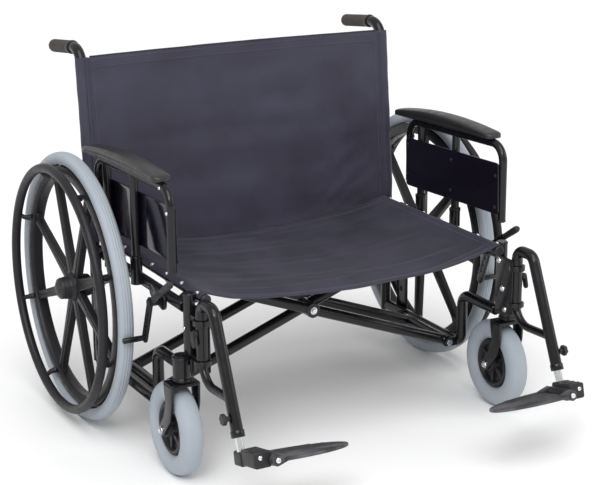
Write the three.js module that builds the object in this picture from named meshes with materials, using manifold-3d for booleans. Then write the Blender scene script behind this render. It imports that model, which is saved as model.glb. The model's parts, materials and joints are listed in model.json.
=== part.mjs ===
// A heavy-duty folding manual wheelchair, 30 in wide, with 24 in moulded rear wheels and 8 in casters.
// Units are millimetres. +Z is up, the sitter faces -Y, and the sitter's left side is +X.
// Every side piece is drawn for the left side, and its right-hand twin is its mirror image across X = 0.
// Inside the group the rear axle lies at Y = 0; the group is then moved to the centre of its footprint.

import * as THREE from 'three';
import { mergeVertices } from 'three/addons/utils/BufferGeometryUtils.js';
import Module from 'manifold-3d';

const wasm = await Module();
wasm.setup();

// ---------------------------------------------------------------- driving dimensions

const FOOTPRINT_SHIFT = 236.87; // moves the rear axle back, so that the footprint is centred on the origin
const GAP = 0.3; // left between two pieces that touch

// Rear wheels
const WHEEL_RADIUS = 305;
const WHEEL_X = 460;
const TYRE_WIDTH = 34.5;
const TYRE_BED_RADIUS = 277;
const WHEEL_FACETS = 32;
const SPOKES = 8;
const SPOKE_PHASE = { left: -2, right: 20 }; // degrees from straight ahead
const HUB_HALF = 33;
const HUB_RADIUS = 27;
const AXLE_RADIUS = 6.3;
const AXLE_BORE = 6.8;
const HANDRIM_RADIUS = 273;
const HANDRIM_TUBE = 10.5;
const HANDRIM_OFFSET = 44;

// Casters
const CASTER_RADIUS = 101.5;
const CASTER_X = 406;
const CASTER_TRAIL = 37;
const CASTER_WIDTH = 48;
const CASTER_BED_RADIUS = 57;
const CASTER_FACETS = 20;
const STEM_Y = -452;
const STEM_RADIUS = 8;
const STEM_BORE = 8.5;
const HOUSING_RADIUS = 20;
const HOUSING_BASE = 219;
const HOUSING_TOP = 272;
const FORK_INSIDE = 28;
const FORK_PLATE = 5;
const CROWN_BASE = 208.5;
const CROWN_TOP = 216.5;
const CASTER_AXLE_RADIUS = 5;
const CASTER_AXLE_BORE = 5.4;

// Side frames
const TUBE = 12.5; // radius of every frame tube
const FRAME_X = 390;
const POST_X = 386;
const POST_BASE = 236;
const POST_TOP = 402;
const LOWER_RAIL_Z = 113;
const LOOP_Z = 236;
const LOOP_DROP_Y = -293;
const SIDE_TUBE_Z = 372;
const CANE_BOTTOM = { y: 52.5, z: 100 };
const CANE_KNEE = { y: 55, z: 430 };
const CANE_TOP = { y: 92.5, z: 827 };
const HANDLE_START_Y = 140;
const HANDLE_END = { y: 264, z: 808 };
const GRIP_RADIUS = 15;

// Cross braces and seat rails
const RAIL_X = 360;
const RAIL_Z = 392;
const RAIL_RADIUS = 11;
const RAIL_FRONT = -478;
const RAIL_BACK = 28;
const BRACE_LOW_Z = 118;
const BRACE_HIGH_Z = 386;
const SLEEVE_RADIUS = 13;
const SLEEVE_FRONT = -279;
const SLEEVE_BACK = -59;
const BRACE_PIN_RADIUS = 5;
const BRACE_PIN_BORE = 5.4;
const LEFT_BRACE_YS = [-235, -75]; // the brace that carries the left seat rail
const RIGHT_BRACE_YS = [-263, -103]; // the brace that carries the right seat rail
const PIVOT_BOLT_RADIUS = 5;
const PIVOT_BOLT_BORE = 5.4;

// Armrests
const ARM_X = 406;
const ARM_TUBE = 9.5;
const ARM_SOCKET_BORE = 9.9;
const ARM_SOCKET_RADIUS = 13.5;
const ARM_SOCKET_TOP = 428;
const ARM_SOCKET_FLOOR = 383;
const ARM_POST_YS = [-80, -229]; // the two posts that stand in sockets
const ARM_BACK = { y: -28, top: 601, foot: 455 };
const ARM_FRONT = { y: -418, top: 615, foot: 442 };
const ARM_BEND = 38;
const PAD_HALF_WIDTH = 22;
const PAD_BACK = { y: 22, z: 622 };
const PAD_CROWN = { y: -184, z: 661 }; // where the tangents of the pad's curved top meet
const PAD_FRONT = { y: -388, z: 636 };
const PANEL_MIDDLE = { y: -225.5, z: 509 };
const PANEL_LENGTH = 389;
const PANEL_HEIGHT = 118;
const PANEL_THICKNESS = 3.6;

// Footrests
const HANGER_X = 386;
const HANGER_PIVOT_Y = -511;
const HANGER_BASE = 262;
const HANGER_TOP = 400;
const HANGER_ELBOW_Y = -568;
const COLLAR_ZS = [[268, 278], [352, 364]]; // the two collars that the hanger turns in
const COLLAR_RADIUS = 18;
const COLLAR_BORE = 13.4;
const HINGE_PLATE = { base: 246, top: 378, thickness: 3.7 }; // closes the space between post and hanger
const LATCH_Z = 336;
const LATCH_DROP = 20; // from the latch's axle down to the end of its finger
const HANGER_LEG_END = { y: -671, z: 168 };
const EXTENSION_RADIUS = 8.5;
const EXTENSION_BORE = 8.9;
const KNOB = { y: -657, z: 205 };
const FOOT_HINGE = { x: 351, y: -727, z: 140 };
const FOOT_TILT = THREE.MathUtils.degToRad(13); // toes up
const FOOT_DROOP = THREE.MathUtils.degToRad(2); // inner tip down
const FOOTPLATE_REACH = 178; // from the hinge axis to the inner tip
const FOOTPLATE_DEPTH = 104;
const FOOTPLATE_POINT = 145; // length of the footplate's elliptical end

// Wheel locks
const LOCK_PIVOT = { y: -345, z: 360 };
const LOCK_SHOE = { y: -311.5, z: 272 };
const LOCK_HANDLE_TIP = { y: -455, z: 430 };
const LOCK_INNER = 423.5;
const LOCK_OUTER = 428.5;

// Upholstery
const SEAT_SAG = 40;
const CLOTH = 4.6;
const BACK_TOP = 806;
const BACK_BOTTOM = 348;

// ---------------------------------------------------------------- materials

const FINISHES = {
  frame: { color: 0x141417, roughness: 0.25, metalness: 0.4 },
  plastic: { color: 0x1b1b1f, roughness: 0.4, metalness: 0 },
  tyre: { color: 0x9ea9b2, roughness: 0.75, metalness: 0 },
  grip: { color: 0x2a2422, roughness: 0.8, metalness: 0 },
  chrome: { color: 0xd5d7da, roughness: 0.15, metalness: 1 },
  cloth: { color: 0x434154, roughness: 0.9, metalness: 0 },
  pad: { color: 0x222226, roughness: 0.45, metalness: 0 },
  panel: { color: 0x17171b, roughness: 0.2, metalness: 0.1 },
};

function finish(kind) {
  return new THREE.MeshStandardMaterial(FINISHES[kind]);
}

// ---------------------------------------------------------------- solids

function at(x, y, z) {
  return new THREE.Vector3(x, y, z);
}

// Position only, with shared vertices merged and flat triangles dropped.
function bare(geometry) {
  const copy = geometry.clone();
  for (const name of Object.keys(copy.attributes)) {
    if (name !== 'position') copy.deleteAttribute(name);
  }
  const merged = mergeVertices(copy, 1e-4);
  const index = merged.index.array;
  const kept = [];
  for (let i = 0; i < index.length; i += 3) {
    const [a, b, c] = [index[i], index[i + 1], index[i + 2]];
    if (a !== b && b !== c && c !== a) kept.push(a, b, c);
  }
  merged.setIndex(kept);
  return merged;
}

function signedVolume(geometry) {
  const position = geometry.attributes.position;
  const index = geometry.index.array;
  const [a, b, c] = [new THREE.Vector3(), new THREE.Vector3(), new THREE.Vector3()];
  let volume = 0;
  for (let i = 0; i < index.length; i += 3) {
    a.fromBufferAttribute(position, index[i]);
    b.fromBufferAttribute(position, index[i + 1]);
    c.fromBufferAttribute(position, index[i + 2]);
    volume += a.dot(b.cross(c)) / 6;
  }
  return volume;
}

function facingOut(geometry) {
  const solid = bare(geometry);
  if (signedVolume(solid) < 0) {
    const index = Array.from(solid.index.array);
    for (let i = 0; i < index.length; i += 3) {
      [index[i + 1], index[i + 2]] = [index[i + 2], index[i + 1]];
    }
    solid.setIndex(index);
  }
  return solid;
}

function toManifold(geometry) {
  const solid = facingOut(geometry);
  return new wasm.Manifold(
    new wasm.Mesh({
      numProp: 3,
      vertProperties: new Float32Array(solid.attributes.position.array),
      triVerts: new Uint32Array(solid.index.array),
    }),
  );
}

function toGeometry(manifold) {
  const mesh = manifold.getMesh();
  const geometry = new THREE.BufferGeometry();
  geometry.setAttribute('position', new THREE.BufferAttribute(new Float32Array(mesh.vertProperties), 3));
  geometry.setIndex(Array.from(mesh.triVerts));
  return geometry;
}

function join(...pieces) {
  return toGeometry(pieces.map(toManifold).reduce((whole, piece) => whole.add(piece)));
}

function cut(geometry, ...tools) {
  const body = toManifold(geometry);
  return toGeometry(tools.map(toManifold).reduce((whole, tool) => whole.subtract(tool), body));
}

function mirrored(geometry) {
  return facingOut(geometry.clone().scale(-1, 1, 1));
}

// A path through given stations, each of which becomes one section of an extruded tube.
class StationPath extends THREE.Curve {
  constructor(stations) {
    super();
    this.stations = stations;
  }

  getPoint(t, target = new THREE.Vector3()) {
    const last = this.stations.length - 1;
    const index = Math.min(Math.floor(t * last + 1e-9), last - 1);
    return target.lerpVectors(this.stations[index], this.stations[index + 1], t * last - index);
  }

  getPointAt(u, target) {
    return this.getPoint(u, target);
  }

  getTangentAt(u, target = new THREE.Vector3()) {
    const last = this.stations.length - 1;
    const index = Math.round(u * last);
    const here = this.stations[index];
    const before = here.clone().sub(this.stations[Math.max(index - 1, 0)]).normalize();
    const after = this.stations[Math.min(index + 1, last)].clone().sub(here).normalize();
    return target.copy(before.add(after).normalize());
  }
}

// Stations along straight runs between corners, with every inner corner rounded to bendRadius.
function roundedPath(corners, bendRadius, stepDegrees = 20) {
  const stations = [corners[0].clone()];
  for (let i = 1; i < corners.length - 1; i += 1) {
    const incoming = corners[i].clone().sub(corners[i - 1]).normalize();
    const outgoing = corners[i + 1].clone().sub(corners[i]).normalize();
    const turn = incoming.angleTo(outgoing);
    const tangent = bendRadius * Math.tan(turn / 2);
    const start = corners[i].clone().addScaledVector(incoming, -tangent);
    const inward = outgoing.clone().addScaledVector(incoming, -Math.cos(turn)).divideScalar(Math.sin(turn));
    const centre = start.clone().addScaledVector(inward, bendRadius);
    const steps = Math.max(1, Math.round(THREE.MathUtils.radToDeg(turn) / stepDegrees));
    for (let step = 0; step <= steps; step += 1) {
      const angle = (turn * step) / steps;
      stations.push(
        centre
          .clone()
          .addScaledVector(inward, -bendRadius * Math.cos(angle))
          .addScaledVector(incoming, bendRadius * Math.sin(angle)),
      );
    }
  }
  stations.push(corners[corners.length - 1].clone());
  return stations;
}

function ovalShape(halfWidth, halfHeight, sides) {
  const points = [];
  for (let i = 0; i < sides; i += 1) {
    const angle = (2 * Math.PI * (i + 0.5)) / sides;
    points.push(new THREE.Vector2(halfWidth * Math.cos(angle), halfHeight * Math.sin(angle)));
  }
  return new THREE.Shape(points);
}

function sweep(shape, stations) {
  const extrudePath = new StationPath(stations);
  return new THREE.ExtrudeGeometry(shape, { steps: stations.length - 1, extrudePath });
}

function tube(corners, radius, bendRadius = 30, sides = 8) {
  return sweep(ovalShape(radius, radius, sides), roundedPath(corners, bendRadius));
}

function rod(from, to, radius, sides = 10) {
  return sweep(ovalShape(radius, radius, sides), [from, to]);
}

function box(low, high) {
  const size = high.clone().sub(low);
  const middle = low.clone().add(high).multiplyScalar(0.5);
  return new THREE.BoxGeometry(size.x, size.y, size.z).translate(middle.x, middle.y, middle.z);
}

// A flat plate whose outline is drawn in Y and Z, from x0 to x1.
function plateAcrossX(shape, x0, x1, curveSegments = 6) {
  const plate = new THREE.ExtrudeGeometry(shape, { depth: x1 - x0, bevelEnabled: false, curveSegments });
  plate.applyMatrix4(new THREE.Matrix4().makeBasis(at(0, 1, 0), at(0, 0, 1), at(1, 0, 0)));
  return plate.translate(x0, 0, 0);
}

function roundedRectangle(y0, y1, z0, z1, radius) {
  const shape = new THREE.Shape();
  shape.absarc(y1 - radius, z1 - radius, radius, 0, Math.PI / 2);
  shape.absarc(y0 + radius, z1 - radius, radius, Math.PI / 2, Math.PI);
  shape.absarc(y0 + radius, z0 + radius, radius, Math.PI, 1.5 * Math.PI);
  shape.absarc(y1 - radius, z0 + radius, radius, 1.5 * Math.PI, 2 * Math.PI);
  return shape;
}

// A bar with round ends, seen from the side.
function barShape(from, to, halfWidth) {
  const angle = Math.atan2(to.z - from.z, to.y - from.y);
  const shape = new THREE.Shape();
  shape.absarc(to.y, to.z, halfWidth, angle - Math.PI / 2, angle + Math.PI / 2);
  shape.absarc(from.y, from.z, halfWidth, angle + Math.PI / 2, angle + 1.5 * Math.PI);
  return shape;
}

// A solid of revolution about the X axis from [radius, x] points, with a flat facing straight down.
function turned(profile, facets) {
  const points = profile.map(([radius, x]) => new THREE.Vector2(radius, x));
  return new THREE.LatheGeometry(points, facets, Math.PI / facets).rotateZ(-Math.PI / 2);
}

// Radius of the corners of a faceted wheel whose flats lie at the given radius.
function cornerRadius(radius, facets) {
  return radius / Math.cos(Math.PI / facets);
}

// ---------------------------------------------------------------- rear wheels, about their own centres

function tyreProfile(outer, bed, width, facets) {
  const rim = cornerRadius(outer, facets);
  const half = width / 2;
  const depth = outer - bed;
  return [
    [bed, -half * 0.62],
    [bed + depth * 0.5, -half],
    [rim - depth * 0.17, -half * 0.8],
    [rim, -half * 0.35],
    [rim, half * 0.35],
    [rim - depth * 0.17, half * 0.8],
    [bed + depth * 0.5, half],
    [bed, half * 0.62],
    [bed, -half * 0.62],
  ];
}

function rearTyre() {
  return turned(tyreProfile(WHEEL_RADIUS, TYRE_BED_RADIUS, TYRE_WIDTH, WHEEL_FACETS), WHEEL_FACETS);
}

const RIM_OUTER = TYRE_BED_RADIUS * Math.cos(Math.PI / WHEEL_FACETS) - 0.6;
const RIM_INNER = 250;

function spoke() {
  const reach = RIM_INNER + 6;
  const shape = new THREE.Shape([
    new THREE.Vector2(12, -14),
    new THREE.Vector2(reach, -9),
    new THREE.Vector2(reach, 9),
    new THREE.Vector2(12, 14),
  ]);
  return plateAcrossX(shape, -9, 9);
}

function rearWheel() {
  const rim = turned(
    [
      [RIM_OUTER, -10],
      [RIM_OUTER - 6, -15],
      [RIM_INNER, -13],
      [RIM_INNER, 13],
      [RIM_OUTER - 6, 15],
      [RIM_OUTER, 10],
      [RIM_OUTER, -10],
    ],
    WHEEL_FACETS,
  );
  const hub = turned(
    [
      [0, -HUB_HALF],
      [HUB_RADIUS - 5, -HUB_HALF],
      [HUB_RADIUS + 6, -12],
      [HUB_RADIUS + 6, 12],
      [HUB_RADIUS - 3, HUB_HALF],
      [0, HUB_HALF],
    ],
    24,
  );
  const spokes = [];
  for (let i = 0; i < SPOKES; i += 1) {
    spokes.push(spoke().rotateX((2 * Math.PI * i) / SPOKES));
  }
  const bore = rod(at(-HUB_HALF - 1, 0, 0), at(HUB_HALF + 1, 0, 0), AXLE_BORE, 16);
  return cut(join(rim, hub, ...spokes), bore);
}

function handrim() {
  const ring = turned(
    Array.from({ length: 7 }, (_, i) => {
      const angle = (2 * Math.PI * (i % 6)) / 6;
      const [out, along] = [HANDRIM_TUBE * Math.cos(angle), HANDRIM_TUBE * Math.sin(angle)];
      return [HANDRIM_RADIUS + out, HANDRIM_OFFSET + along];
    }),
    WHEEL_FACETS,
  );
  const standoffs = [];
  for (let i = 0; i < SPOKES; i += 1) {
    const standoff = rod(at(17.8, 0, 256), at(HANDRIM_OFFSET, 0, HANDRIM_RADIUS - 3), 5, 6);
    standoffs.push(standoff.rotateX((2 * Math.PI * i) / SPOKES + Math.PI / 2));
  }
  return join(ring, ...standoffs);
}

function hubCap() {
  const base = HUB_HALF + GAP;
  return turned(
    [
      [0, base + 14],
      [14, base + 12.5],
      [22, base + 8],
      [24.5, base],
      [12, base],
      [12, base + 7.5],
      [0, base + 7.5],
    ],
    20,
  );
}

// ---------------------------------------------------------------- casters

const CASTER_Y = STEM_Y + CASTER_TRAIL;

function casterTyre() {
  return turned(tyreProfile(CASTER_RADIUS, CASTER_BED_RADIUS, CASTER_WIDTH, CASTER_FACETS), CASTER_FACETS);
}

function casterWheel() {
  const outer = CASTER_BED_RADIUS * Math.cos(Math.PI / CASTER_FACETS) - 0.5;
  const body = turned(
    [
      [CASTER_AXLE_BORE, -26],
      [15, -26],
      [17, -10],
      [outer, -13],
      [outer, 13],
      [17, 10],
      [15, 26],
      [CASTER_AXLE_BORE, 26],
      [CASTER_AXLE_BORE, -26],
    ],
    CASTER_FACETS,
  );
  return body;
}

function forkLeg(x0) {
  const leg = new THREE.Shape();
  leg.moveTo(STEM_Y - 20, CROWN_TOP - 1);
  leg.lineTo(CASTER_Y - 14, CASTER_RADIUS);
  leg.absarc(CASTER_Y, CASTER_RADIUS, 14, Math.PI, 2 * Math.PI);
  leg.lineTo(STEM_Y + 24, CROWN_TOP - 1);
  return plateAcrossX(leg, x0, x0 + FORK_PLATE);
}

function casterFork() {
  const reach = FORK_INSIDE + FORK_PLATE;
  const crown = box(
    at(CASTER_X - reach, STEM_Y - 20, CROWN_BASE),
    at(CASTER_X + reach, STEM_Y + 24, CROWN_TOP),
  );
  const legs = [forkLeg(CASTER_X - reach), forkLeg(CASTER_X + FORK_INSIDE)];
  const bearing = rod(at(CASTER_X, STEM_Y, CROWN_TOP - 1), at(CASTER_X, STEM_Y, HOUSING_BASE - GAP), 15, 16);
  const onStem = (z) => at(CASTER_X, STEM_Y, z);
  const stem = rod(onStem(CROWN_TOP - 1), onStem(HOUSING_TOP - 6), STEM_RADIUS, 12);
  const onAxle = (x) => at(CASTER_X + x, CASTER_Y, CASTER_RADIUS);
  const bore = rod(onAxle(-50), onAxle(50), CASTER_AXLE_BORE);
  return cut(join(crown, ...legs, bearing, stem), bore);
}

function casterAxle() {
  const reach = FORK_INSIDE + FORK_PLATE + GAP;
  const centre = (x) => at(CASTER_X + x, CASTER_Y, CASTER_RADIUS);
  return join(
    rod(centre(-reach - 5), centre(reach + 5), CASTER_AXLE_RADIUS),
    rod(centre(-reach - 6), centre(-reach), 8.5, 6),
    rod(centre(reach), centre(reach + 6), 8.5, 6),
  );
}

// ---------------------------------------------------------------- side frames

function onHangerPivot(z) {
  return at(HANGER_X, HANGER_PIVOT_Y, z);
}

// A ring round the hanger's upright, and the web that carries it on the front post.
function hangerCollar(low, high) {
  const ring = rod(onHangerPivot(low), onHangerPivot(high), COLLAR_RADIUS, 12);
  const web = box(at(POST_X - 6, HANGER_PIVOT_Y, low), at(POST_X + 6, STEM_Y, high));
  return join(ring, web);
}

// The plate on the inner side of the post, which reaches forward past the hanger, and its seat on the post.
function hingePlate() {
  const { base, top, thickness } = HINGE_PLATE;
  const face = POST_X - TUBE - GAP;
  const plate = box(at(face - thickness, HANGER_PIVOT_Y - 5, base), at(face, STEM_Y - 2, top));
  const seat = box(at(face - 2, STEM_Y - 10, base), at(POST_X - 6, STEM_Y - 2, top));
  return join(plate, seat);
}

function frontPost() {
  const onPost = (z) => at(POST_X, STEM_Y, z);
  const onStem = (z) => at(CASTER_X, STEM_Y, z);
  const post = rod(onPost(POST_BASE), onPost(POST_TOP), TUBE);
  const cap = rod(onPost(POST_TOP - 1), onPost(POST_TOP + 3), TUBE + 0.6);
  const housing = rod(onStem(HOUSING_BASE), onStem(HOUSING_TOP), HOUSING_RADIUS, 14);
  const dome = rod(onStem(HOUSING_TOP - 1), onStem(HOUSING_TOP + 4), HOUSING_RADIUS - 4, 14);
  const bore = rod(onStem(HOUSING_BASE - 5), onStem(HOUSING_TOP - 4), STEM_BORE, 12);
  const collars = COLLAR_ZS.map(([low, high]) => hangerCollar(low, high));
  const pivotBore = rod(onHangerPivot(HANGER_BASE), onHangerPivot(HANGER_TOP), COLLAR_BORE);
  return cut(join(post, cap, housing, dome, hingePlate(), ...collars), bore, pivotBore);
}

function braceLug(y0, y1) {
  return box(at(RAIL_X - 9, y0, BRACE_LOW_Z - 11), at(FRAME_X - 4, y1, BRACE_LOW_Z + 11));
}

function lowerTube() {
  const loop = tube(
    [
      at(FRAME_X, STEM_Y + HOUSING_RADIUS + GAP, LOOP_Z),
      at(FRAME_X, LOOP_DROP_Y, LOOP_Z),
      at(FRAME_X, LOOP_DROP_Y, LOWER_RAIL_Z),
      at(FRAME_X, CANE_BOTTOM.y - TUBE - GAP, LOWER_RAIL_Z),
    ],
    TUBE,
    28,
  );
  const frontLug = braceLug(SLEEVE_FRONT - 7, SLEEVE_FRONT - 1);
  const backLug = braceLug(SLEEVE_BACK + 1, SLEEVE_BACK + 7);
  const pinAt = (y) => at(RAIL_X, y, BRACE_LOW_Z);
  const frontPin = rod(pinAt(SLEEVE_FRONT - 6), pinAt(SLEEVE_FRONT + 14), BRACE_PIN_RADIUS);
  const backPin = rod(pinAt(SLEEVE_BACK - 14), pinAt(SLEEVE_BACK + 6), BRACE_PIN_RADIUS);
  return join(loop, frontLug, backLug, frontPin, backPin);
}

function railSaddle(y) {
  return box(at(RAIL_X - 11, y - 12, RAIL_Z - 24), at(FRAME_X, y + 12, RAIL_Z - 2));
}

function sideTube() {
  const front = at(FRAME_X, STEM_Y + TUBE + GAP, SIDE_TUBE_Z);
  const back = at(FRAME_X, CANE_KNEE.y - TUBE - 0.8, SIDE_TUBE_Z);
  const sockets = ARM_POST_YS.map((y) =>
    rod(at(ARM_X, y, SIDE_TUBE_Z - 8), at(ARM_X, y, ARM_SOCKET_TOP), ARM_SOCKET_RADIUS),
  );
  const bores = ARM_POST_YS.map((y) =>
    rod(at(ARM_X, y, ARM_SOCKET_FLOOR), at(ARM_X, y, ARM_SOCKET_TOP + 5), ARM_SOCKET_BORE),
  );
  const onRail = (y) => at(RAIL_X, y, RAIL_Z);
  const rail = rod(onRail(RAIL_FRONT - 5), onRail(RAIL_BACK + 5), RAIL_RADIUS + 0.6, 16);
  return cut(join(rod(front, back, TUBE), ...sockets, railSaddle(-408), railSaddle(-6)), ...bores, rail);
}

const HANDLE_RISE = (HANDLE_END.z - CANE_TOP.z) / (HANDLE_END.y - CANE_TOP.y);
const HANDLE_PLUG = 20; // the grip's closed end, past the end of the tube

function backCane() {
  return tube(
    [
      at(FRAME_X, CANE_BOTTOM.y, CANE_BOTTOM.z),
      at(FRAME_X, CANE_KNEE.y, CANE_KNEE.z),
      at(FRAME_X, CANE_TOP.y, CANE_TOP.z),
      at(FRAME_X, HANDLE_END.y - HANDLE_PLUG, HANDLE_END.z - HANDLE_PLUG * HANDLE_RISE),
    ],
    TUBE,
    42,
    10,
  );
}

// The grip is turned about X, then swung round to lie along the handle.
function pushGrip() {
  const length = HANDLE_END.y - HANDLE_START_Y;
  const bore = TUBE + 1;
  const profile = [
    [0, length],
    [GRIP_RADIUS - 3, length],
    [GRIP_RADIUS, length - 4],
  ];
  const ribs = 2;
  const pitch = (length - 24) / ribs;
  for (let i = 0; i < ribs; i += 1) {
    const end = length - 12 - i * pitch;
    const waist = [GRIP_RADIUS - 1.2, end - pitch * 0.3];
    profile.push([GRIP_RADIUS, end], waist, [GRIP_RADIUS, end - pitch * 0.6]);
  }
  profile.push([GRIP_RADIUS, 0], [bore, 0], [bore, length - 15], [0, length - 15]);
  const grip = turned(profile, 12).rotateZ(Math.PI / 2).rotateX(Math.atan(HANDLE_RISE));
  const startZ = CANE_TOP.z + (HANDLE_START_Y - CANE_TOP.y) * HANDLE_RISE;
  return grip.translate(FRAME_X, HANDLE_START_Y, startZ);
}

const PLATE_INNER = FRAME_X + TUBE + 0.6;
const PLATE_OUTER = PLATE_INNER + 7;

function axlePlate() {
  const plate = plateAcrossX(roundedRectangle(-20, 22, 98, 386, 8), PLATE_INNER, PLATE_OUTER, 3);
  const through = (z, radius, sides) =>
    rod(at(PLATE_INNER - 2, 0, z), at(PLATE_OUTER + 2, 0, z), radius, sides);
  const holes = [165, 200, 235, 270, 340].map((z) => through(z, 5, 8));
  const bore = through(WHEEL_RADIUS, AXLE_BORE, 12);
  return cut(plate, bore, ...holes);
}

function axleBolt() {
  const inHub = WHEEL_X - HUB_HALF;
  const centre = (x) => at(x, 0, WHEEL_RADIUS);
  return join(
    rod(centre(PLATE_INNER - 14), centre(WHEEL_X + HUB_HALF + 3), AXLE_RADIUS),
    rod(centre(PLATE_INNER - 11), centre(PLATE_INNER - GAP), 11, 6),
    rod(centre(PLATE_OUTER + GAP), centre(inHub - GAP), 11),
    rod(centre(WHEEL_X + HUB_HALF + GAP), centre(WHEEL_X + HUB_HALF + 5), 9.5, 6),
  );
}

// ---------------------------------------------------------------- wheel locks

function lockBracket() {
  const low = { y: LOCK_PIVOT.y - 20, z: LOCK_PIVOT.z + 2 };
  const high = { y: LOCK_PIVOT.y + 28, z: LOCK_PIVOT.z + 14 };
  const plate = plateAcrossX(barShape(low, high, 16), PLATE_INNER, PLATE_OUTER - 1, 5);
  const axis = (x) => at(x, LOCK_PIVOT.y, LOCK_PIVOT.z);
  const spacer = rod(axis(PLATE_OUTER - 2), axis(LOCK_INNER - GAP), 9);
  const pin = rod(axis(LOCK_INNER - 1), axis(LOCK_OUTER + 2), 5);
  const head = rod(axis(LOCK_OUTER + 0.6), axis(LOCK_OUTER + 4), 8);
  return join(plate, spacer, pin, head);
}

function lockLever() {
  const middleX = (LOCK_INNER + LOCK_OUTER) / 2;
  const strip = plateAcrossX(barShape(LOCK_PIVOT, LOCK_SHOE, 11), LOCK_INNER, LOCK_OUTER, 4);
  const onShoe = (x) => at(x, LOCK_SHOE.y, LOCK_SHOE.z);
  const shoe = rod(onShoe(LOCK_INNER + 1), onShoe(WHEEL_X + 16), 6, 10);
  const root = at(middleX, LOCK_PIVOT.y, LOCK_PIVOT.z);
  const tip = at(middleX, LOCK_HANDLE_TIP.y, LOCK_HANDLE_TIP.z);
  const neck = root.clone().lerp(tip, 0.55);
  const bar = plateAcrossX(barShape(root.clone().lerp(tip, 0.1), neck, 8), LOCK_INNER, LOCK_OUTER, 4);
  const grip = rod(neck, tip, 8, 10);
  const onPivot = (x) => at(x, LOCK_PIVOT.y, LOCK_PIVOT.z);
  const pivotBore = rod(onPivot(LOCK_INNER - 3), onPivot(LOCK_OUTER + 9), 5.5);
  const holes = [0.34, 0.54, 0.74].map((part) => {
    const y = THREE.MathUtils.lerp(LOCK_PIVOT.y, LOCK_SHOE.y, part);
    const z = THREE.MathUtils.lerp(LOCK_PIVOT.z, LOCK_SHOE.z, part);
    return rod(at(LOCK_INNER - 2, y, z), at(LOCK_OUTER + 2, y, z), 4, 8);
  });
  return cut(join(strip, shoe, bar, grip), pivotBore, ...holes);
}

// ---------------------------------------------------------------- armrests

const ARM_RISE = (ARM_FRONT.top - ARM_BACK.top) / (ARM_BACK.y - ARM_FRONT.y);

function armTopZ(y) {
  return ARM_BACK.top + ARM_RISE * (ARM_BACK.y - y);
}

function armFrame() {
  const loop = tube(
    [
      at(ARM_X, ARM_BACK.y, ARM_BACK.foot),
      at(ARM_X, ARM_BACK.y, ARM_BACK.top),
      at(ARM_X, ARM_FRONT.y, ARM_FRONT.top),
      at(ARM_X, ARM_FRONT.y, ARM_FRONT.foot),
    ],
    ARM_TUBE,
    ARM_BEND,
  );
  const posts = ARM_POST_YS.map((y) =>
    rod(at(ARM_X, y, ARM_SOCKET_FLOOR + GAP), at(ARM_X, y, armTopZ(y)), ARM_TUBE, 10),
  );
  return join(loop, ...posts);
}

function armPad() {
  const under = (y) => armTopZ(y) + ARM_TUBE + GAP;
  const side = new THREE.Shape();
  side.moveTo(PAD_BACK.y, under(PAD_BACK.y));
  side.lineTo(PAD_BACK.y, PAD_BACK.z);
  side.quadraticCurveTo(PAD_CROWN.y, PAD_CROWN.z, PAD_FRONT.y, PAD_FRONT.z);
  side.lineTo(PAD_FRONT.y, under(PAD_FRONT.y));
  return plateAcrossX(side, ARM_X - PAD_HALF_WIDTH, ARM_X + PAD_HALF_WIDTH, 8);
}

function sidePanel() {
  const outer = ARM_X - ARM_TUBE - GAP;
  const [reach, rise] = [PANEL_LENGTH / 2, PANEL_HEIGHT / 2];
  const outline = roundedRectangle(-reach, reach, -rise, rise, 8);
  const panel = plateAcrossX(outline, outer - PANEL_THICKNESS, outer, 4);
  return panel.rotateX(-Math.atan(ARM_RISE)).translate(0, PANEL_MIDDLE.y, PANEL_MIDDLE.z);
}

// ---------------------------------------------------------------- footrests

const LEG_TOP = at(HANGER_X, HANGER_ELBOW_Y, HANGER_TOP);
const LEG_END = at(HANGER_X, HANGER_LEG_END.y, HANGER_LEG_END.z);
const LEG_AXIS = LEG_END.clone().sub(LEG_TOP).normalize();

// A point on the leg's axis, so far past the leg's lower end.
function alongLeg(distance) {
  return LEG_END.clone().addScaledVector(LEG_AXIS, distance);
}

function hanger() {
  const main = tube(
    [
      at(HANGER_X, HANGER_PIVOT_Y, HANGER_BASE),
      at(HANGER_X, HANGER_PIVOT_Y, HANGER_TOP),
      LEG_TOP,
      LEG_END,
    ],
    TUBE,
    24,
    10,
  );
  const strut = tube(
    [
      at(HANGER_X, HANGER_PIVOT_Y, HANGER_BASE + 22),
      at(HANGER_X, HANGER_PIVOT_Y - 3, 230),
      at(HANGER_X, -645, 236),
    ],
    9,
    48,
    8,
  );
  const bore = rod(alongLeg(-130), alongLeg(5), EXTENSION_BORE);
  return cut(join(main, strut), bore);
}

function extensionKnob() {
  const face = HANGER_X + TUBE + GAP;
  const centre = (x) => at(x, KNOB.y, KNOB.z);
  const stem = rod(centre(face), centre(face + 9), 4.5, 10);
  const head = rod(centre(face + 8), centre(face + 17), 12, 14);
  return join(stem, head);
}

// The latch that lets the hanger swing: a boss on the upright's outer side, and its finger.
function releaseLever() {
  const face = HANGER_X + TUBE + GAP;
  const boss = { y: HANGER_PIVOT_Y, z: LATCH_Z };
  const tip = { y: HANGER_PIVOT_Y - 6, z: LATCH_Z - LATCH_DROP };
  const axle = rod(at(face, boss.y, boss.z), at(face + 8, boss.y, boss.z), 8);
  const finger = plateAcrossX(barShape(boss, tip, 7), face + 5, face + 11, 4);
  return join(axle, finger);
}

// The foot end is drawn level about its hinge axis, which runs fore and aft, and then tilted toes up.
function tilted(geometry) {
  return geometry.rotateX(-FOOT_TILT).translate(FOOT_HINGE.x, FOOT_HINGE.y, FOOT_HINGE.z);
}

const KNUCKLE_HALF = 30;
const KNUCKLE_RADIUS = 13;
const FOOT_PIN = 5;

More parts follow.
